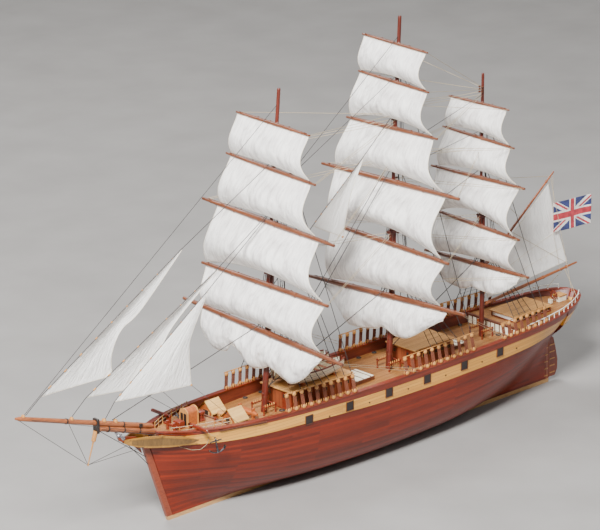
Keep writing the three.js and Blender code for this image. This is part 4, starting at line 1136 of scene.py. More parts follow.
def lower_rigging(name, sign, ropes, eyes, laces):
    """The deadeyes of one side, with the shrouds and backstays that rise from them."""
    x0, count, height, first, lower_count = DEADEYES[name]
    x, rake, top, cap, trees, head, truck, girth = MASTS[name]
    lower, tips = [], []
    for k in range(count):
        row = station_at(x0 + k * DEADEYE_PITCH)
        foot = side(row, row[2] - 0.1, sign, 0.12)
        tip = foot + by(-0.1, -sign * 0.25, height)
        tips.append(tip)
        order = k - first
        if 0 <= order < lower_count:
            end = on_mast(name, top - 0.12, -DOUBLING + 0.1 - 0.06 * order, sign * 0.3 * girth)
            lower.append((tip, end))
        elif k < count - 1:
            end = on_mast(name, trees - 0.1, -0.2 - 0.12 * (order - lower_count), sign * 0.2)
        else:
            end = on_mast(name, truck - 4.6 * girth, -0.1, sign * 0.2)
        if order >= 0:
            rope(ropes, tip, end, SHROUD)
        for place in (foot + by(z=0.28), tip):  # the flat of a deadeye faces outwards
            bead(eyes, place, DEADEYE, 0.75, Vector((0.1, 1, 0)), 10)
        for shift in (-0.17, 0, 0.17):
            rope(laces, foot + by(shift), tip + by(shift), LANYARD, 6)
    ladder(ropes, lower, lower[0][0].z / M + 0.5, top - 1.2)
    # A sheer pole runs along the upper deadeyes
    rope(eyes, tips[0] + by(-0.3, 0, 0.25), tips[-1] + by(0.3, 0, 0.25), 0.06 * M, 6)


def upper_rigging(name, sign, ropes):
    """Topmast shrouds with their ratlines, and topgallant shrouds."""
    x, rake, top, cap, trees, head, truck, girth = MASTS[name]
    upper = []
    for k in range(3):
        foot = on_mast(name, top + 0.2, -0.62 - 0.32 * k, sign * 1.6 * girth)
        upper.append((foot, on_mast(name, trees - 0.2, -0.28, sign * 0.16)))
        rope(ropes, *upper[-1], SHROUD * 0.85)
    ladder(ropes, upper, top + 1.0, trees - 1.6)
    for ahead in (-0.15, -0.5):
        foot = on_mast(name, trees + 0.05, ahead, sign * 1.08 * girth)
        rope(ropes, foot, on_mast(name, truck - 4.8 * girth, -0.18, sign * 0.14), SHROUD * 0.8)


for name in MASTS:
    ropes, eyes, laces = fresh(3)
    for sign in (-1, 1):
        lower_rigging(name, sign, ropes, eyes, laces)
        upper_rigging(name, sign, ropes)
    piece(f"{name}_shrouds", ropes, dark_cord)
    piece(f"{name}_deadeyes", eyes, bead_wood)
    piece(f"{name}_lanyards", laces, brown_cord)

# %% [markdown]
# ## Bowsprit
# The bowsprit and the jibboom on top of it are turned spars, held by a dark cap and hoops. The dolphin
# striker hangs below the cap and spreads the stays that hold the jibboom down. Pale beads mark where
# stays end.

# %% Bowsprit
STEEVE = radians(17.8)
BOWSPRIT_HEEL, BOOM_HEEL, BOOM_LIFT = (1.9, 10.5), 0.6, 0.57
BOWSPRIT_LENGTH, BOOM_LENGTH = 8.3, 18.9
STRIKER_TIP = at(-7.25, 0, 9.3)


def along(share, lift=0.0):
    """A place on the bowsprit, share ship metres from its heel, lift above its middle line."""
    x = BOWSPRIT_HEEL[0] - share * cos(STEEVE) + lift * sin(STEEVE)
    return at(x, 0, BOWSPRIT_HEEL[1] + share * sin(STEEVE) + lift * cos(STEEVE))


def boom(share, lift=0.0):
    """A place on the jibboom, share ship metres from its heel."""
    return along(BOOM_HEEL + share, BOOM_LIFT + lift)


spars, cap, beads = fresh(3)
spar(spars, along(0), along(BOWSPRIT_LENGTH), [(0, 0.34), (0.6, 0.33), (1, 0.29)], 18)
JIB_TAPER = [
    (0, 0.27), (0.02, 0.29), (0.4, 0.28), (0.85, 0.25), (0.975, 0.23), (0.98, 0.17), (0.995, 0.15), (1, 0.1),
]
spar(spars, boom(0), boom(BOOM_LENGTH), JIB_TAPER, 16)
piece("bowsprit_spars", spars, boom_wood, ["bowsprit_and_jibboom"])
block(cap, (-6.1, -0.4, 12.5), (-5.8, 0.4, 14.1), 0.5)
block(cap, (-0.4, -0.36, 11.62), (0.05, 0.36, 12.0), 0.3, Matrix.Rotation(STEEVE, 4, "Y"))
for place, radius, shares in ((along, 0.36, (2.2, 4.4, 6.6)), (boom, 0.31, (4.0, 11.9))):
    for share in shares:
        spar(cap, place(share), place(share + HOOP), radius, 18)
piece("bowsprit_cap_and_hoops", cap, ebony)
spar(beads, at(-6.05, 0, 12.75), STRIKER_TIP, [(0, 0.26), (0.3, 0.24), (0.33, 0.09), (1, 0.05)], 10)
for share, radius in ((17.9, 0.24), (11.3, 0.27), (6.8, 0.3), (5.2, 0.3)):
    bead(beads, boom(share, 0.26), radius, 0.8, X, 10)
bead(beads, STRIKER_TIP, 0.12)
piece("jibboom_beads", beads, bead_wood)

# %% [markdown]
# ## Stays
# The stays lead forward and down from each mast. Each row gives the mast and height of the upper end,
# how far ahead of the mast it ends, and the lower end. They pass over a yard and in front of the sail
# that hangs below it.

# %% Stays
STAY, THIN_STAY, THICK_STAY = 0.5 * MM, 0.4 * MM, 0.62 * MM
# Columns: mast, height, ahead, lower end, radius
STAYS = [
    ("fore", 18.8, -0.3, along(6.3, 0.98), THICK_STAY),
    ("fore", 42.3, 0.2, boom(17.9, 0.3), THIN_STAY),
    ("main", 18.2, -0.3, lower_back("fore", 11.2), THICK_STAY),
    ("main", 31.85, 0.2, lower_back("fore", 11.0), STAY),
    ("main", 32.9, 0.2, lower_back("fore", 12.8), STAY),
    ("main", 41.9, 0.2, on_mast("fore", 32.9, -0.2), THIN_STAY),
    ("main", 46.2, 0.2, on_mast("fore", 32.5, -0.2), THIN_STAY),
    ("mizzen", 18.3, -0.3, lower_back("main", 11.0), 0.6 * MM),
    ("mizzen", 28.35, 0.2, on_mast("main", 24.0, -0.9), STAY),
    ("mizzen", 32.85, 0.2, on_mast("main", 31.0, -0.2), THIN_STAY),
    ("mizzen", 36.9, 0.2, on_mast("main", 33.4, -0.2), THIN_STAY),
]
bm = bmesh.new()
for name, z, ahead, lower_end, radius in STAYS:
    rope(bm, lower_end, on_mast(name, z, ahead), radius, 6)
# Martingale stays from the jibboom through the striker to the bow, guys to both bows, and bobstays
for share in (18.3, 11.6):
    rope(bm, boom(share, -0.2), STRIKER_TIP, 0.36 * MM)
for sign in (-1, 1):
    rope(bm, STRIKER_TIP, side_at(1.4, 9.7, sign, -0.03), 0.36 * MM)
    for start, x in ((along(7.9), 2.6), (boom(16.9), 3.8)):
        rope(bm, start + by(y=sign * 0.25), side_at(x, 10.1, sign, -0.03), 0.3 * MM)
for z, share in ((7.9, 7.7), (6.9, 5.6)):
    stem_x = STATIONS[0][0] + STEM_RAKE * (STATIONS[0][2] - z)
    rope(bm, at(stem_x - 0.7, 0, z), along(share, -0.3), STAY)
piece("standing_stays", bm, dark_cord)

# %% [markdown]
# ## Jibs and staysail
# Three jibs and one staysail are hung on their stays by hanks. They are of the whitest cotton, cut with
# a hollow leech, and each bellies to one side.

# %% Fore-and-aft sails
HANKS = 9


def on_line(points, share):
    """A place on a smooth line through points, share of the way along."""
    if len(points) == 2:
        return points[0].lerp(points[1], share)
    spread = share * (len(points) - 1)
    k = min(int(spread), len(points) - 2)
    return through(*neighbours(points, k), spread - k)


def loose_shape(luff, leech, belly):
    """Cloth between a luff and a leech, bellied to starboard, or to port where belly is negative."""

    def shape(u, v):
        swell = sin(pi * u) * sin(pi * mix(0.1, 1, v))
        return on_line(luff, v).lerp(on_line(leech, v), u) + by(y=belly * swell)

    return shape


# Columns: node, where its stay starts, tack, head, where the stay ends, leech from the clew up, belly
LOOSE_SAILS = [
    ("flying_jib", boom(17.6, 0.39), (-13.1, 0, 18.45), (6.2, 0, 29.5), ("fore", 36.25),
     [(-3.2, 0.45, 18.0), (-3.2, 0.4, 20.3), (-1.9, 0.3, 22.7), (0.8, 0.2, 24.3)], 0.3),
    ("outer_jib", boom(11.4, 0.39), (-7.15, 0, 16.75), (11.1, 0, 26.1), ("fore", 30.7),
     [(2.6, 0.5, 15.4), (2.95, 0.45, 17.3), (3.7, 0.4, 19.5), (5.8, 0.3, 21.9)], 0.3),
    ("inner_jib", boom(6.7, 0.39), (-3.4, 0, 15.25), (9.65, 0, 24.0), ("fore", 30.5),
     [(6.8, -0.45, 14.5), (6.7, -0.45, 16.3), (6.7, -0.4, 18.2), (7.1, -0.35, 19.9)], -0.3),
    ("main_staysail", lower_back("fore", 22.6), (25.1, 0, 27.75), (32.5, 0, 33.55), ("main", 37.6),
     [(29.8, 0.3, 25.3), (30.9, 0.2, 29.6)], 0.25),
]
for k, (name, start, tack, peak, (mast_name, z), leech, belly) in enumerate(LOOSE_SAILS):
    bm, hanks = fresh(2)
    ends = [start, at(*tack), at(*peak), on_mast(mast_name, z, 0.45)]
    for a, b in zip(ends, ends[1:]):
        rope(bm, a, b, STAY, 6)
    for hank in range(HANKS):
        place = ends[1].lerp(ends[2], (hank + 0.5) / HANKS)
        spar(hanks, place, place.lerp(ends[2], 0.02), 0.075, 6)
    clew = at(*leech[0])
    if name != "main_staysail":  # a jib's sheet runs to the rail on the side to which it bellies
        rope(bm, clew, side_at(8.2 + k, 10.0, 1 if belly > 0 else -1, 0.1), 0.3 * MM)
    bead(hanks, clew, 0.14, 1, X, 6)
    piece(f"{name}_stay", bm, dark_cord, [f"{name}_on_stay"])
    piece(f"{name}_hanks", hanks, bead_wood)
    upper = at(peak[0] + 0.25, *peak[1:])
    shape = loose_shape([ends[1], ends[2]], [*(at(*p) for p in leech), upper], belly)
    build_sail(
        f"{name}_cloth", shape, Y, "ship", white_cotton, [],
        seed=60 + 5 * k, depth=0.25 * MM,
    )

# %% [markdown]
# ## Spanker
# The spanker is the fore-and-aft sail abaft the mizzen mast, between a boom and a gaff that swing round
# the mast together. Jaws of wood hold both spars to the mast, and hoops hold the sail's luff.

# %% Spanker boom and gaff
BOOM_ENDS = (at(51.6, 0, 12.2), at(66.7, 0, 13.44))
GAFF_ENDS = (at(51.75, 0, 16.85), at(62.8, 0, 25.35))
SWING_TAPER = [(0, 0.8), (0.02, 0.86), (0.35, 1), (0.9, 0.7), (0.91, 0.62), (0.995, 0.54), (1, 0.45)]
for name, (heel, tip), radius, material in (
    ("spanker_boom", BOOM_ENDS, 0.2, boom_wood), ("spanker_gaff", GAFF_ENDS, 0.16, gaff_wood),
):
    bm = bmesh.new()
    spar(bm, heel, tip, scaled(SWING_TAPER, radius), 16)
    for sign in (-1, 1):  # the jaws
        start = heel.lerp(tip, 0.05) + by(y=sign * 0.16)
        spar(bm, start, heel + by(-0.25, sign * 0.22), (0.1, 0.07), 8)
    for share in (0.3, 0.62, 0.88):
        spar(bm, heel.lerp(tip, share), heel.lerp(tip, share + 0.012), 1.02 * radius, 16)
    piece(f"{name}_spar", bm, material, [name], "spanker")

# %% Spanker sail
SPANKER_LUFF = [at(51.85, 0, 12.75), at(51.9, 0, 16.3)]
SPANKER_LEECH = [at(65.05, 0, 14.0), at(63.2, 0, 19.0), at(61.9, 0, 24.0)]
spanker_shape = loose_shape(SPANKER_LUFF, SPANKER_LEECH, 0.35)
build_sail(
    "spanker_cloth", spanker_shape, Y, "spanker", white_cotton, ["spanker_sail"],
    seed=90, depth=0.3 * MM,
)
bm = bmesh.new()
for v in (0.22, 0.42):  # reef bands with their short reef points
    band = [spanker_shape(0.02 + 0.06 * k, v) - Y * 0.5 * MM for k in range(17)]
    bent_rope(bm, band, 0.24 * MM, 5)
    for k in range(14):
        for sign in (-1, 1):
            tie = spanker_shape(0.07 + 0.066 * k, v) + Y * sign * 0.6 * MM
            rope(bm, tie, tie + by(z=-0.35), 0.2 * MM, 4)
for k in range(5):  # hoops round the mast at the luff
    hoop = circle(spanker_shape(0, 0.1 + 0.2 * k) + by(-0.16), 0.24, 12, X, Y)
    bent_rope(bm, hoop, 0.3 * MM, 5, closed=True)
piece("spanker_reef_bands", bm, bolt_rope, body="spanker")

# %% [markdown]
# ### Spanker ropes
# Halyards hold the gaff up from the mast, vangs steady its peak from both rails, and the sheet holds the
# boom down. Each of these has one end on the ship and the other on the spanker. Each is fixed to no body,
# and stays straight because only its two ends hold corners.

# %% Ropes between two bodies
def crossing(name, lines, radius):
    """Straight ropes from the ship to a moving body, from pairs of a fixed end and a moving one, fixed to no
    body.
    """
    bm = bmesh.new()
    for fixed, moving in lines:
        rope(bm, fixed, moving, radius)
    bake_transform(piece(name, bm, tan_cord, body=None))


peak, throat = GAFF_ENDS[0].lerp(GAFF_ENDS[1], 0.95), GAFF_ENDS[0].lerp(GAFF_ENDS[1], 0.5)
halyards = [
    (on_mast("mizzen", 26.6, -0.3), throat), (on_mast("mizzen", 27.0, -0.3), peak),
    (on_mast("mizzen", 22.6, -0.6), BOOM_ENDS[0].lerp(BOOM_ENDS[1], 0.93)),
]
crossing("spanker_halyards", halyards, 0.3 * MM)
boom_hold = BOOM_ENDS[0].lerp(BOOM_ENDS[1], 0.86)
down = [(side_at(64.2, 10.15, sign, 0.15), boom_hold) for sign in (-1, 1)]
crossing("spanker_sheets", down, 0.3 * MM)
vangs = [(side_at(63.0, 10.0, sign, 0.15), peak) for sign in (-1, 1)]
crossing("spanker_vangs", vangs, 0.26 * MM)

# %% [markdown]
# ## Ensign
# A flag of blue, white and red crosses flies from the gaff on a thin line. It is cut from printed
# cotton: the mesh is fine enough that each cell takes one of three cloths.

# %% Ensign
HOIST, FLY, FLAG_TOP, FLAG_BOTTOM, FLAG_Y = 62.45, 6.3, 21.7, 18.15, -0.32
FLAG_SIZE = (FLY * M, (FLAG_TOP - FLAG_BOTTOM) * M)
FLAG_CELLS = (120, 68)


def bunting(name, light, dark):
    """Printed cotton flag cloth with a fine plain weave, drawn 0.8 mm wide."""
    made = new_material(name, 0.7, Sheen_weight=0.15)
    tree = made[1]
    where = coordinates(tree, "UV")
    tone = ramp(tree, clouds(tree, where, 120.0, 3.0), (0.35, dark), (0.65, light))
    return finish(made, tone, bump(tree, threads(tree, where, 0.8, "X"), 0.2, 0.1))


def flag_colour(u, v):
    """0 blue, 1 white or 2 red at a place, on a field 60 by 30."""
    x, y = abs(u * 60 - 30), abs(v * 30 - 15)
    if x < 3 or y < 3:
        return 2
    if x < 5 or y < 5:
        return 1
    slant = (y - x / 2) * 2 / sqrt(5)  # distance from the near diagonal
    if abs(slant) > 3:
        return 0
    turn = 1 if (u > 0.5) == (v > 0.5) else -1
    return 2 if -2 < slant * turn < 0 else 1


def flag_shape(u, v):
    wave = 0.12 * sin(tau * u) * u + 0.05 * sin(5 * u + 4 * v) * u
    return at(HOIST + u * FLY, FLAG_Y - wave, mix(FLAG_BOTTOM, FLAG_TOP, v) - 0.35 * u)


bm, line = fresh(2)
skin(bm, *FLAG_CELLS, flag_shape, FLAG_SIZE)
uv = bm.loops.layers.uv.verify()
for face in bm.faces:
    middle = sum((loop[uv].uv for loop in face.loops), Vector((0, 0))) / len(face.loops)
    face.material_index = flag_colour(middle.x / FLAG_SIZE[0], middle.y / FLAG_SIZE[1])
cloths = [
    bunting("blue_bunting", "#2f3a78", "#1c2450"), bunting("white_bunting", "#f2efe9", "#dcd7d0"),
    bunting("red_bunting", "#cf3442", "#a02230"),
]
flag = piece("ensign_cloth", bm, cloths, ["ensign"], "spanker", crease=80)
thicken(flag, 0.4 * MM)
hoist = [at(HOIST - 0.05, FLAG_Y, z) for z in (FLAG_TOP, FLAG_BOTTOM)]
belay = BOOM_ENDS[0].lerp(BOOM_ENDS[1], 0.8) + by(y=-0.2)
points = [GAFF_ENDS[0].lerp(GAFF_ENDS[1], 0.985), *hoist, belay]
for a, b in zip(points, points[1:]):
    rope(line, a, b, 0.25 * MM)
piece("ensign_halyard", line, tan_cord, body="spanker")

# %% [markdown]
# ## Running rigging on the yards
# A jackstay lies along the top of each yard, foot ropes hang below it, and blocks hold the lower corners
# of the sail above. Braces lead from both arms: those of the fore and main yards go aft to the next mast
# or to the rail, those of the mizzen yards go forward to the main mast. Braces cross from the yards to
# the ship, and each mast's set is fixed to no body.

# %% Yard ropes
JACK_SHARES = (-0.92, -0.7, -0.45, -0.2, 0, 0.2, 0.45, 0.7, 0.92)
FOOT_BAYS = [(0.12, 0.1), (0.3, 0.62), (0.5, 0.72), (0.7, 0.62), (0.88, 0.1)]  # share and sag
for yard in yards:
    half, r = yard.length / 2, yard.radius
    ropes, blocks = fresh(2)
    jack = [yard.out(half * share, r * (1.12 - 0.38 * abs(share) ** 1.6), 0.02) for share in JACK_SHARES]
    bent_rope(ropes, jack, 0.32 * MM, 5)
    for sign in (-1, 1):
        bays = [yard.out(sign * half * share, -sag - 0.6 * r, -0.9 * r - 0.06) for share, sag in FOOT_BAYS]
        bent_rope(ropes, bays, 0.24 * MM, 4)
        for bay in (1, 3):  # a stirrup holds the foot rope at each of these bays
            reach = sign * half * FOOT_BAYS[bay][0]
            rope(ropes, yard.out(reach, -0.1, -0.9 * r - 0.04), bays[bay], 0.2 * MM, 4)
        for share in (0.1, 0.42):
            bead(blocks, yard.out(sign * half * share, r * 0.8, -0.14), 0.11, 1.2, yard.outward, 6)
        # The clew of the sail above is hauled out to a block on this arm
        bead(blocks, yard.out(sign * half * 0.88, r * 0.8 + 0.02, 0.1), 0.07, 1.3, Z, 6)
    piece(f"{yard.title}_ropes", ropes, brown_cord, body=yard.body)
    piece(f"{yard.title}_blocks", blocks, dark_wood, body=yard.body)

# %% Brace tables
# Columns: mast that the braces lead to, whether they lead ahead, and two distances from the stem along
# the braces, one near their ends on the ship and one near their ends on the yards
BRACES = {
    "fore": ("main", False, 34.5, 21.5), "main": ("mizzen", False, 47.0, 40.0),
    "mizzen": ("main", True, 40.0, 48.5),
}
COURSE_BRACES = {"fore": 36.2, "main": 50.4}  # where the braces of the lowest yards end on the rail
for name, (other, to_bow, ship_end, yard_end) in BRACES.items():
    lines, blocks = [], bmesh.new()
    for yard in [y for y in yards if y.mast == name]:
        for sign in (-1, 1):
            arm = yard.out(sign * yard.length * 0.485)
            if yard.brace_end is None:
                end = side_at(COURSE_BRACES[name], 9.7, sign, 0.3)
            else:
                ahead = (-0.9 if yard.brace_end < 26 else -0.3) if to_bow else 0.3
                end = on_mast(other, yard.brace_end, ahead, sign * 0.2)
            lines.append((end, arm))
            if yard.name not in ("royal", "skysail"):  # a block at the arm doubles the larger braces
                lines.append((end + by(z=-0.35), arm + by(z=-0.16)))
            bead(blocks, end, 0.13, 1.3, X, 6)
    crossing(f"{name}_braces", lines, 0.28 * MM)
    piece(f"{name}_brace_blocks", blocks, dark_wood)

# %% [markdown]
# ## Deckhouses
# A house is a box of boards with dark corner posts, a plinth and small panes in frames, under a roof of
# lime strips that overhangs its walls. The fore and after houses are of mahogany and have doors at both
# ends, and the low cabin on the poop is white. One function builds all three from their sizes.

# %% House
EAVES, ROOF, PLINTH = 0.25, 0.16, 0.14
FRAME = 0.05  # width of a window's frame
DOORS_FROM = 1.2  # a lower house has no doors


def house(name, x0, x1, half, foot, top, pitch, nodes=(), pane=(0.5, 0.42), paint=house_wood):
    """A deckhouse between x0 and x1, with a pane about every pitch along its sides."""
    walls, trim, panes, roof, frames = fresh(5)
    middle, length = (x0 + x1) / 2, (x1 - x0) / 2
    post(walls, middle, 0, length, half, foot, top - 0.12)
    post(roof, middle, 0, length + EAVES, half + EAVES, top - ROOF, top, 0.6)
    post(trim, middle, 0, length + 0.06, half + 0.06, foot, foot + PLINTH, 0.2)
    z, count = mix(foot + PLINTH, top - ROOF, 0.58), max(1, round((x1 - x0) / pitch))
    w, h = pane[0] / 2, pane[1] / 2
    for face in (-half, half):
        for x in (x0, x1):
            post(trim, x, face, 0.07, 0.07, foot, top - ROOF)
        for k in range(count):
            x = mix(x0, x1, (k + 0.5) / count)
            post(frames, x, face, w + FRAME, 0.05, z - h - FRAME, z + h + FRAME, 0.2)
            post(panes, x, face, w, 0.07, z - h, z + h)
            if k:  # a batten between two panes
                post(trim, mix(x0, x1, k / count), face, 0.04, 0.035, foot, top - ROOF)
    if top - foot > DOORS_FROM:
        for x in (x0, x1):
            for y in (-half / 2, half / 2):
                post(trim, x, y, 0.05, 0.34, foot, top - 0.3, 0.3)
                post(panes, x, y, 0.065, 0.18, top - 0.95, top - 0.55)
    piece(f"{name}_walls", walls, paint, nodes)
    piece(f"{name}_trim", trim, rail_wood)
    piece(f"{name}_window_frames", frames, bead_wood)
    piece(f"{name}_panes", panes, pane_glass)
    piece(f"{name}_roof", roof, roof_strips)


HOUSE_FOOT = MAIN_DECK + 0.024
HOUSE_TOP = 10.75  # the fore house's roof, where the boats stand
house("fore_house", 19.4, 28.2, 2.3, HOUSE_FOOT, HOUSE_TOP, 1.1, ["fore_deckhouse_with_boats"])
house("after_house", 38.2, 44.0, 2.1, HOUSE_FOOT, 10.6, 1.0, ["after_deckhouse"])
house("poop_cabin", 54.6, 60.2, 1.9, POOP_DECK, POOP_DECK + 0.75, 0.5, pane=(0.22, 0.3), paint=white_paint)

# %% [markdown]
# ## Boats
# Two open boats stand in chocks on the fore house. Each is a shell with an inside, a gunwale, a stem and
# a sternpost, a keel and thwarts. The planking material draws its strakes on the shell's UV map.

# %% Boats
BOAT_X, BOAT_Y, BOAT_HALF, BOAT_DEPTH = (20.0, 27.9), 1.25, 1.1, 1.35
BOAT_FOOT, BOAT_SKIN, BOAT_GIRTH = HOUSE_TOP + 0.05, 0.09, 4.4
THWARTS, CHOCKS = (0.2, 0.35, 0.5, 0.65, 0.8), (21.6, 26.2)


def boat_point(share, angle, y, drop=0.0, shrink=0.0):
    """A point of a boat's section: angle 0 is the port gunwale, pi the starboard one."""
    full = sin(pi * mix(0.06, 0.94, share)) ** 0.6
    rise = (1 - full) * BOAT_DEPTH * 0.45
    half, depth = BOAT_HALF * full - shrink, BOAT_DEPTH - rise * 0.5 - shrink
    dip = max(0, sin(angle)) ** 0.7 * depth
    x = mix(BOAT_X[0] + shrink, BOAT_X[1] - shrink, share)
    z = BOAT_FOOT - drop + BOAT_DEPTH + rise * 0.5 - dip
    return at(x, y - cos(angle) * max(half, 0.02), z)


def boat_place(u, v, y):
    """The skin goes round the outside and back round the inside."""
    if v <= 0.5:
        return boat_point(u, pi * v * 2, y)
    return boat_point(u, pi * (2 - 2 * v), y, 0, BOAT_SKIN)


shells, gunwales, seats = fresh(3)
for y in (-BOAT_Y, BOAT_Y):
    skin(shells, 24, 32, lambda u, v: boat_place(u, v, y), ((BOAT_X[1] - BOAT_X[0]) * M, BOAT_GIRTH * M))
    for angle in (0, pi):
        bent_rope(gunwales, [boat_point(k / 16, angle, y) for k in range(17)], 0.085 * M, 6)
    for share in (0, 1):
        tip, top = boat_point(share, pi / 2, y), boat_point(share, 0, y)
        top.y = tip.y
        spar(gunwales, tip, top + by(z=0.1), (0.09, 0.07), 8)
    bent_rope(gunwales, [boat_point(k / 12, pi / 2, y, 0.04) for k in range(13)], 0.07 * M, 6)
    for share in THWARTS:
        a, b = (boat_point(share, angle, y, 0.25, 0.06) for angle in (0, pi))
        x, z = mix(*BOAT_X, share), a.z / M
        block(seats, (x - 0.16, a.y / M, z - 0.05), (x + 0.16, b.y / M, z + 0.02))
    for x in CHOCKS:
        post(seats, x, y, 0.1, 0.8, HOUSE_TOP, HOUSE_TOP + 0.3, 0.3)
close(shells)
piece("boat_shells", shells, boat_strakes)
piece("boat_gunwales", gunwales, rail_wood)
piece("boat_thwarts_and_chocks", seats, orange_wood)

# %% [markdown]
# ## Bow houses, hatches and bulkheads
# Two small gabled houses with pale roofs stand abaft the forecastle, with a studded drum between them,
# and an arched companion stands on the forecastle itself. Each hatch has a dark coaming and a pale lid
# with battens. Panelled bulkheads close the forecastle and the poop.


# %% Bow houses
def prism(bm, profile, x0, x1):
    """A solid of one cross-section, given as pairs of y and z, from x0 to x1."""
    count = len(profile)
    skin(bm, 1, count, lambda u, v: at(mix(x0, x1, u), *profile[round(v * count) % count]))
    close(bm)


def arch(half, low, spring, turns=10):
    """The outline of an arched wall: two corners at low, and a round arch that springs at spring."""
    curve = [pi * k / turns for k in range(turns + 1)]
    return [(-half, low), (half, low), *((half * cos(a), spring + half * sin(a)) for a in curve)]


x0, x1, inner, outer = 10.7, 12.4, 0.8, 2.85
foot, eaves, ridge = 8.48, 9.9, 10.9
BOARD, VERGE, EAVES_WIDTH, EAVES_DROP = 0.13, 0.14, 0.22, 0.16  # of a roof
middle, half = (inner + outer) / 2, (outer - inner) / 2
gables, roofs, doorways = fresh(3)
for y in (-middle, middle):
    outline = [(y - half, foot), (y + half, foot), (y + half, eaves), (y, ridge), (y - half, eaves)]
    prism(gables, outline, x0, x1)
    for slope in (-1, 1):  # two slabs of roof that meet on the ridge and pass the walls
        edge, low = y + slope * (half + EAVES_WIDTH), eaves - EAVES_DROP
        slab = [(y, ridge - 0.02), (edge, low), (edge, low + BOARD), (y, ridge + BOARD)]
        prism(roofs, slab, x0 - VERGE, x1 + VERGE)
    for x in (x0, x1):  # a dark doorway under each gable, between posts
        post(doorways, x, y, 0.04, 0.42, foot + 0.1, eaves + 0.1, 0.2)
        for edge in (-half, -0.5, 0.5, half):
            post(roofs, x, y + edge, 0.06, 0.06, foot, eaves)
piece("bow_house_gables", gables, orange_wood)
piece("bow_house_roofs", roofs, roof_wood)
piece("bow_house_doorways", doorways, pane_glass)

# %% Companion and drum
x0, x1, half, spring = 6.0, 7.5, 0.6, 11.3
walls, trim, doors = fresh(3)
prism(walls, arch(half, FORECASTLE_DECK, spring), x0, x1)
for a, b in ((x0 - 0.03, x0 + 0.12), (x1 - 0.12, x1 + 0.03)):
    prism(trim, arch(half + 0.07, FORECASTLE_DECK, spring), a, b)
for y in (-0.26, 0.26):
    post(doors, x0 - 0.02, y, 0.06, 0.2, FORECASTLE_DECK + 0.08, spring + 0.1, 0.3)
piece("companion_walls", walls, orange_wood)
piece("companion_trim", trim, bead_wood)
piece("companion_doors", doors, ebony)
bm, studs = fresh(2)
drum = at(11.3, 0, 9.25)
DRUM_PROFILE = [(0, 0.3), (0.12, 0.42), (0.3, 0.34), (0.7, 0.34), (0.72, 0.46), (0.96, 0.46), (1, 0.4)]
spar(bm, drum - by(z=0.67), drum + by(z=0.9), DRUM_PROFILE, 18)
for point in circle(drum + by(z=0.66), 0.46, 10, X, Y):
    bead(studs, point, 0.07, turns=6)
piece("deck_drum", bm, bead_wood)
piece("deck_drum_studs", studs, ebony)

# %% Hatches and bulkheads
HATCHES = [(29.2, 32.6, 1.5, 0.55), (45.3, 47.4, 1.1, 0.5)]  # x0, x1, half width, height
BULKHEADS = [(9.62, FORECASTLE_DECK, 3.5), (53.18, POOP_DECK, 4.3)]  # x, height of the top, half width
PANELS = 12
coamings, lids, doors = fresh(3)
for x0, x1, half, height in HATCHES:
    x, long, top = (x0 + x1) / 2, (x1 - x0) / 2, MAIN_DECK + height
    post(coamings, x, 0, long, half, MAIN_DECK, top - 0.14, 0.3)
    post(lids, x, 0, long - 0.08, half - 0.08, top - 0.14, top - 0.03, 0.3)
    for k in range(3):
        post(coamings, mix(x0, x1, (k + 0.5) / 3), 0, 0.07, half, top - 0.04, top, 0.2)
for x, top, half in BULKHEADS:
    post(lids, x, 0, 0.06, half, MAIN_DECK, top - 0.05)
    post(coamings, x, 0, 0.16, half + 0.1, top - 0.12, top + 0.1, 0.4)
    for k in range(PANELS + 1):
        post(coamings, x, mix(-half, half, k / PANELS), 0.11, 0.06, MAIN_DECK, top)
    for y in (-half * 0.58, half * 0.58):
        post(doors, x, y, 0.1, 0.36, MAIN_DECK, top - 0.22, 0.3)
piece("hatch_coamings_and_posts", coamings, dark_wood)
piece("hatch_lids_and_panels", lids, cream)
piece("bulkhead_doors", doors, orange_wood)

# %% [markdown]
# ## Fittings on deck
# Belaying pins stand in rails at each mast's foot and along the bulwark. Coils of cord lie by them. The
# windlass, capstan, catheads, bitts and wheel are turned and cut from the same few shapes.

# %% Pins, rails and coils
PIN = [(0, 0.035), (0.5, 0.04), (0.56, 0.075), (0.85, 0.07), (1, 0.03)]
FIFE_POST = [(0, 0.11), (0.2, 0.08), (0.85, 0.08), (0.86, 0.12), (1, 0.1)]
FIFE_LENGTH, FIFE_Y, FIFE_RAIL = 0.95, 0.95, (MAIN_DECK + 0.84, MAIN_DECK + 0.94)
RAIL_PINS = RAIL_WIDTH - RAIL_OVERHANG - 0.12  # how far inboard the pins along the rail stand


def pin(foot):
    spar(pins, foot, foot + by(z=0.55), PIN, 6)


def coil(centre, radius=0.34):
    """Three turns of cord that lie on the deck and narrow as they rise."""
    turns = []
    for k in range(37):
        a, share = tau * k / 12, k / 36
        reach = radius * (1 - 0.35 * share)
        turns.append(centre + by(cos(a) * reach, sin(a) * reach, 0.05 + 0.09 * share))
    bent_rope(coils, turns, 0.42 * MM, 4)


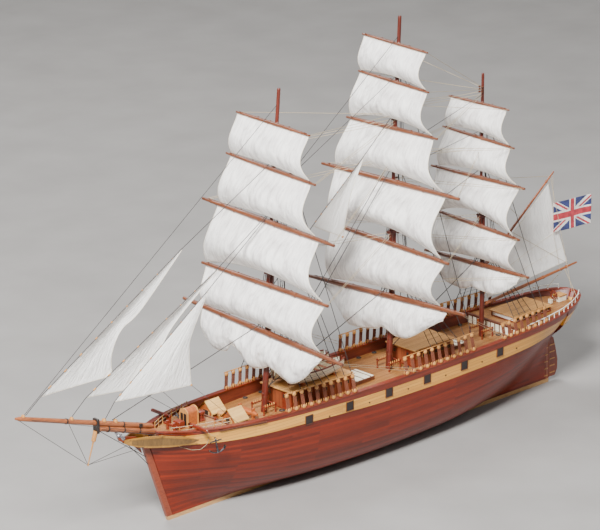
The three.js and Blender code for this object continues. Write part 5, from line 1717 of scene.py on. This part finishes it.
pins, rails, coils = fresh(3)
for name in MASTS:
    x = ship_x(on_mast(name, MAIN_DECK, -DOUBLING))
    for y in (-FIFE_Y, FIFE_Y):
        for ahead in (-0.85, 0.85):
            foot = at(x + ahead, y, MAIN_DECK)
            spar(rails, foot, foot + by(z=1.1), FIFE_POST, 8)
        post(rails, x, y, FIFE_LENGTH, 0.1, *FIFE_RAIL, 0.2)
        for k in range(5):
            pin(at(x - 0.64 + 0.32 * k, y, MAIN_DECK + 0.62))
        coil(at(x + 1.5, copysign(1.25, y), MAIN_DECK))
    post(rails, x + 0.85, 0, 0.1, 1.05, *FIFE_RAIL, 0.2)
for x0, count, *_ in DEADEYES.values():
    for sign in (-1, 1):
        for k in range(count * 3):
            row = station_at(x0 - 0.15 + 0.35 * k)
            pin(side(row, row[2] - 0.2, sign, RAIL_PINS))
        for k in range(3):
            coil(side_at(x0 + 2.2 + 2.4 * k, MAIN_DECK, sign, BULWARK + 0.5), 0.28)
piece("belaying_pins", pins, bead_wood)
piece("fife_rails", rails, rail_wood)
piece("rope_coils", coils, dark_cord)

# %% Windlass, chain, catheads and bitts
WINDLASS = at(14.9, 0, MAIN_DECK + 0.75)
WINDLASS_PROFILE = [
    (0, 0.16), (0.1, 0.22), (0.12, 0.32), (0.28, 0.26), (0.3, 0.33),
    (0.7, 0.33), (0.72, 0.26), (0.88, 0.32), (0.9, 0.22), (1, 0.16),
]
bm = bmesh.new()
spar(bm, WINDLASS - by(y=1.7), WINDLASS + by(y=1.7), WINDLASS_PROFILE, 10)
for y in (-1.07, 1.07):
    post(bm, 14.9, y, 0.2, 0.12, MAIN_DECK + 0.024, MAIN_DECK + 1.35, 0.4)
for point in circle(WINDLASS, 0.33, 7, X, Z):  # whelps on the barrel
    spar(bm, point - by(y=0.62), point + by(y=0.62), 0.05, 4)
piece("windlass_barrel", bm, orange_wood, ["windlass"])

LINK, LINKS, LINK_HALF, LINK_BULGE = 0.27, 17, 0.19, 0.09
bm = bmesh.new()
for y in (-0.45, 0.45):
    for k in range(LINKS):  # every other link stands on its edge
        centre = at(14.5 - k * LINK, y, MAIN_DECK + 0.07 + max(0, 0.5 - k / 5) + 0.04 * (k % 2))
        bulge = (Z if k % 2 else Y) * LINK_BULGE
        turns = [(X * LINK_HALF * cos(a) + bulge * sin(a)) * M for a in angles(8)]
        bent_rope(bm, [centre + turn for turn in turns], 0.035 * M, 5, closed=True)
piece("anchor_chains", bm, chain_metal)

BITT = [(0, 0.16), (0.75, 0.15), (0.8, 0.19), (0.95, 0.17), (1, 0.08)]
BOLLARD = [(0, 0.12), (0.75, 0.11), (0.8, 0.16), (1, 0.1)]
bm = bmesh.new()
post(bm, 5.3, 0, 0.4, 0.5, FORECASTLE_DECK, 10.75, 0.5)
for sign in (-1, 1):
    for low, high, foot in ((1.5, 4.5, 10.59), (1.5, 1.9, FORECASTLE_DECK)):
        post(bm, 5.4, sign * (low + high) / 2, 0.16, (high - low) / 2, foot, 10.91, 0.6)
    spar(bm, at(4.2, sign * 0.55, FORECASTLE_DECK), at(4.2, sign * 0.55, 11.0), BITT, 10)
    for x in (9.1, 3.0):
        spar(bm, at(x, sign * 1.5, FORECASTLE_DECK), at(x, sign * 1.5, 10.5), BOLLARD, 8)
post(bm, 4.2, 0, 0.12, 1.1, 10.45, 10.66, 0.3)
piece("catheads_and_bitts", bm, rail_wood)
bm = bmesh.new()
for sign in (-1, 1):
    spar(bm, at(5.4, sign * 4.5, 10.75), at(5.4, sign * 4.56, 10.75), (0.13, 0.09), 12)
    # A spare spar is lashed outside the bulwark
    spare = [(0, 0.05), (0.1, 0.09), (0.9, 0.09), (1, 0.05)]
    spar(bm, side_at(7.4, 10.1, sign, -0.22), side_at(13.2, 9.85, sign, -0.22), spare, 10)
piece("cathead_ends_and_spare_spar", bm, dark_wood)

# %% Anchors
ARM = 1.08  # radius of an arm's curve
SHANK = [(0, 0.12), (0.5, 0.09), (1, 0.075)]
STOCK = [(0, 0.06), (0.45, 0.1), (0.55, 0.1), (1, 0.06)]


def anchor(name, crown, ring, arm, node):
    """An anchor between its crown and its ring: a shank, two curved arms with palms, and a stock."""
    bm = bmesh.new()
    way, arm = (ring - crown).normalized(), arm.normalized()
    spar(bm, crown, ring, SHANK, 8)
    for sign in (-1, 1):
        bend = [k / 6 * 1.05 for k in range(7)]
        curve = [crown + (arm * sign * sin(a) + way * (1 - cos(a))) * ARM * M for a in bend]
        bent_rope(bm, curve, 0.085 * M, 6)
        flat, tilt = way.cross(arm).normalized(), (curve[-1] - curve[-2]).normalized()
        palm = basis(tilt, flat, tilt.cross(flat).normalized(), curve[-2].lerp(curve[-1], 0.4))
        board(bm, palm, (0.42, 0.36, 0.05), bevel=0.5)
    stock = crown.lerp(ring, 0.86)
    spar(bm, stock - arm * 0.7 * M, stock + arm * 0.7 * M, STOCK, 8)
    shackle = circle(ring + way * 0.1 * M, 0.15, 10, square_to(way)[0], way)
    bent_rope(bm, shackle, 0.035 * M, 5, closed=True)
    piece(name, bm, iron, [node])


anchor("port_anchor", at(6.9, -4.35, 7.9), at(6.4, -4.55, 9.6), Vector((1, -0.25, 0.1)), "anchor_port")
STARBOARD_ARMS = Vector((0.5, 0.86, 0))
anchor("starboard_anchor", at(8.5, 1.75, 10.15), at(6.6, 2.1, 10.4), STARBOARD_ARMS, "anchor_starboard")
bm = bmesh.new()
rope(bm, at(6.4, -4.55, 9.8), at(5.4, -4.42, 10.62), 0.35 * MM)
SLACK = ((2.2, 9.6), (3.0, 8.9), (4.2, 8.3), (5.2, 8.2), (5.9, 8.7), (6.3, 9.6))
bent_rope(bm, [side_at(x, z, -1, -0.06) for x, z in SLACK], 0.3 * MM, 5)
piece("anchor_tackle", bm, tan_cord)

# %% Capstan and wheel
CAPSTAN = at(8.4, 0, FORECASTLE_DECK + 0.024)
CAPSTAN_PROFILE = [
    (0, 0.5), (0.1, 0.5), (0.12, 0.36), (0.35, 0.27), (0.62, 0.28),
    (0.7, 0.42), (0.74, 0.44), (0.94, 0.44), (0.98, 0.4), (1, 0.3),
]
bm = bmesh.new()
spar(bm, CAPSTAN, CAPSTAN + by(z=1.05), CAPSTAN_PROFILE, 20)
for a in angles(6):  # ribs on the barrel, and sockets for the bars
    out = Vector((cos(a), sin(a), 0))
    spar(bm, CAPSTAN + (out * 0.36 + Z * 0.12) * M, CAPSTAN + (out * 0.33 + Z * 0.72) * M, (0.07, 0.06), 4)
    socket = basis(Z.cross(out), Z, out, CAPSTAN + (out * 0.43 + Z * 0.88) * M)
    board(bm, socket, (0.12, 0.12, 0.06))
piece("capstan_barrel", bm, rail_wood, ["capstan"], "capstan")

WHEEL = at(62.85, 0, POOP_DECK + 0.86)
SPOKE = [(0, 0.04), (0.5, 0.03), (0.68, 0.045), (0.74, 0.022), (0.88, 0.04), (1, 0.02)]
rim, hub = fresh(2)
for radius, thick in ((0.5, 0.055), (0.36, 0.03)):
    bent_rope(rim, circle(WHEEL, radius, 28, Y, Z), thick * M, 6, closed=True)
for a in angles(8, 0.5):
    spar(rim, WHEEL, WHEEL + by(0, cos(a), sin(a)) * 0.74, SPOKE, 6)
spar(hub, WHEEL - by(0.1), WHEEL + by(0.2), [(0, 0.07), (0.2, 0.12), (0.8, 0.12), (1, 0.06)], 12)
piece("wheel_rim_and_spokes", rim, rail_wood, ["steering_wheel"], "steering_wheel")
piece("wheel_hub", hub, brass, body="steering_wheel")
bm, tops = fresh(2)
post(bm, 63.8, 0, 0.6, 0.55, POOP_DECK, POOP_DECK + 0.62, 0.3)
post(tops, 63.8, 0, 0.68, 0.63, POOP_DECK + 0.62, POOP_DECK + 0.75, 0.5)
post(bm, 62.3, 0, 0.2, 0.2, POOP_DECK, POOP_DECK + 0.5, 0.3)
bead(tops, at(62.3, 0, POOP_DECK + 0.55), 0.16, 0.8)
piece("wheel_box", bm, cream)
piece("wheel_box_top", tops, roof_strips)

# %% [markdown]
# ## Rails and rudder
# White stanchions and a thin rail run round the poop. Posts with two life lines run round the
# forecastle, and two ladders lead up to it. Pale straps hold the rudder to the sternpost.

# %% Stern rail
posts = bmesh.new()
for sign in (-1, 1):
    tips = []
    for k in range(13):
        row = station_at(53.6 + 0.98 * k)
        foot = side(row, row[2], sign, 0.2)
        tips.append(foot + by(z=0.5))
        spar(posts, foot, tips[-1], [(0, 0.07), (0.15, 0.04), (0.85, 0.045), (1, 0.065)], 6)
    bent_rope(posts, tips, 0.045 * M, 5)
piece("stern_rail", posts, white_paint)

# %% Forecastle rail
posts, lines = fresh(2)
for sign in (-1, 1):
    feet = [side_at(2.8 + 0.95 * k, FORECASTLE_DECK, sign, 0.85) for k in range(8)]
    for foot in feet:
        spar(posts, foot, foot + by(z=0.95), [(0, 0.08), (0.1, 0.05), (0.9, 0.05), (1, 0.07)], 6)
    for z in (0.5, 0.9):
        bent_rope(lines, [foot + by(z=z) for foot in feet], 0.03 * M, 5)
    y = sign * 2.0
    for edge in (y - 0.32, y + 0.32):  # a ladder from the main deck, with its treads
        spar(posts, at(10.35, edge, MAIN_DECK + 0.1), at(9.75, edge, FORECASTLE_DECK + 0.35), 0.06, 6)
    for k in range(5):
        z = mix(MAIN_DECK + 0.3, FORECASTLE_DECK, k / 4)
        post(posts, mix(10.3, 9.85, k / 4), y, 0.1, 0.32, z - 0.03, z + 0.03)
piece("forecastle_posts_and_ladders", posts, bead_wood)
piece("forecastle_life_lines", lines, tan_cord)

# %% Rudder
dress("rudder", stem_wood)
bm, fixed = fresh(2)
for z in (1.0, 1.85, 2.7, 3.55, 4.4):
    post(bm, 62.46, 0, 0.44, 0.17, z - 0.07, z + 0.07, 0.2)
    post(fixed, 61.375, 0, 0.325, 0.24, z - 0.2, z - 0.08, 0.2)
piece("rudder_straps", bm, bead_wood, body="rudder")
piece("sternpost_straps", fixed, bead_wood)

# %% [markdown]
# ## The head
# Under the bowsprit a knee carries the two trailboards, which are leaf-shaped boards of pale wood with a
# dark carved field, and a small carved figure at its tip. The figure is a plain draped one without a
# worked face.

# %% Trailboards and figure
TRAIL_HEIGHT = 0.72


def trail_point(share, v, sign, inset, shrink):
    """A corner of a trailboard, v from 0 to 1 round its section. shrink below 1 gives its inner field."""
    x, z = mix(-2.4, 4.9, share), mix(10.55, 9.55, share**0.7)
    half = max(TRAIL_HEIGHT * sin(pi * mix(0.05, 0.97, share)) ** 0.7, 0.08) * shrink
    hull = side_at(x, z, 1).y / M if x > STATIONS[0][0] else 0
    y = max(hull + 0.08, mix(0.02, 1.0, share / 0.4))
    flare = mix(0.05, 0.45, min(1, share / 0.5)) / 2
    low, high = y + flare * (1 - shrink), y + flare * (1 + shrink)
    thick = 0.2 if shrink == 1 else 0.08
    corners = [(low, z - half), (high, z + half), (high + thick, z + half), (low + thick, z - half)]
    y, z = corners[round(v * 4) % 4]
    return at(x, sign * (y + inset), z)


bm, fields = fresh(2)
for sign in (-1, 1):
    skin(bm, 30, 4, lambda u, v: trail_point(u, v, sign, 0, 1))
    skin(fields, 26, 4, lambda u, v: trail_point(mix(0.1, 0.9, u), v, sign, 0.15, 0.62))
    for share, radius in ((0.06, 0.08), (0.5, 0.15), (0.94, 0.08)):  # carved bosses
        bead(bm, trail_point(share, 0.5, sign, 0.06, 1), radius, 0.5, Y, 8)
close(bm)
close(fields)
piece("trailboards", bm, gilt_wood, ["head_knee_and_trailboards"])
piece("trailboard_fields", fields, field_wood)
bm = bmesh.new()
knee = [(0.03, 8.6), (-0.45, 10.2), (-0.6, 10.6), (-2.6, 11.15), (-3.1, 11.2), (-2.9, 10.75), (-1.2, 9.9)]
face = bm.faces.new([bm.verts.new(at(x - 0.05, -0.16, z)) for x, z in knee])
grown = bmesh.ops.extrude_face_region(bm, geom=[face])["geom"]
bmesh.ops.translate(bm, vec=by(y=0.32), verts=[g for g in grown if isinstance(g, bmesh.types.BMVert)])
piece("head_knee", bm, stem_wood)
bm = bmesh.new()
ROBE = [
    (0, 0.05), (0.1, 0.26), (0.35, 0.22), (0.55, 0.17), (0.72, 0.24), (0.82, 0.2), (0.88, 0.08), (1, 0.07),
]
spar(bm, at(-2.3, 0, 10.75), at(-3.3, 0, 11.62), ROBE, 12)
bead(bm, at(-3.36, 0, 11.74), 0.14, 1.2, Vector((-0.3, 0, 1)), 10)
bead(bm, at(-3.26, 0, 11.8), 0.13)
for sign in (-1, 1):
    arm = [at(-3.02, sign * 0.2, 11.42), at(-2.7, sign * 0.3, 11.2), at(-2.35, sign * 0.28, 11.25)]
    bent_rope(bm, arm, 0.06 * M, 6)
piece("carved_figure", bm, figure_metal)


# %% [markdown]
# ## Light and floor
# The model stands on a plain pale floor under three soft lamps: a large key lamp off the port bow, a
# weaker one off the stern that fills the shadows, and one from behind that draws the edges of the sails.

# %% Floor
FLOOR_HALF = 6  # metres
made = new_material("pale_floor", 0.85)
mottle = clouds(made[1], coordinates(made[1]), 9.0, 3.0)
floor_paint = finish(made, ramp(made[1], mottle, (0.3, "#8f8c89"), (0.7, "#979491")))
floor_mesh = bpy.data.meshes.new("floor")
bm = bmesh.new()
bmesh.ops.create_grid(bm, x_segments=1, y_segments=1, size=FLOOR_HALF)
bm.to_mesh(floor_mesh)
bm.free()
floor_mesh.materials.append(floor_paint)
link(bpy.data.objects.new("floor", floor_mesh))

# %% Lamps
# Columns: name, azimuth, elevation, distance, size, power in watts
LAMPS = [
    ("key", -56, 42, 3.2, 0.9, 330),
    ("fill", 35, 28, 3.6, 2.4, 22),
    ("edge", 165, 50, 3.2, 1.6, 95),
]
for name, azimuth, elevation, distance, size, power in LAMPS:
    lamp = link(bpy.data.objects.new(name, bpy.data.lights.new(name, "AREA")))
    lamp.data.shape, lamp.data.size, lamp.data.energy = "DISK", size, power
    way = towards(azimuth, elevation)
    first = square_to(way)[0]
    lamp.matrix_world = basis(first, way.cross(first), way, AIM + way * distance)
world = bpy.data.worlds.new("studio")
bpy.context.scene.world = world
world.use_nodes = True
sky = world.node_tree.nodes["Background"]
sky.inputs["Color"].default_value = linear("#dfe3e8")
sky.inputs["Strength"].default_value = 0.2
print(len(LAMPS), "lamps")
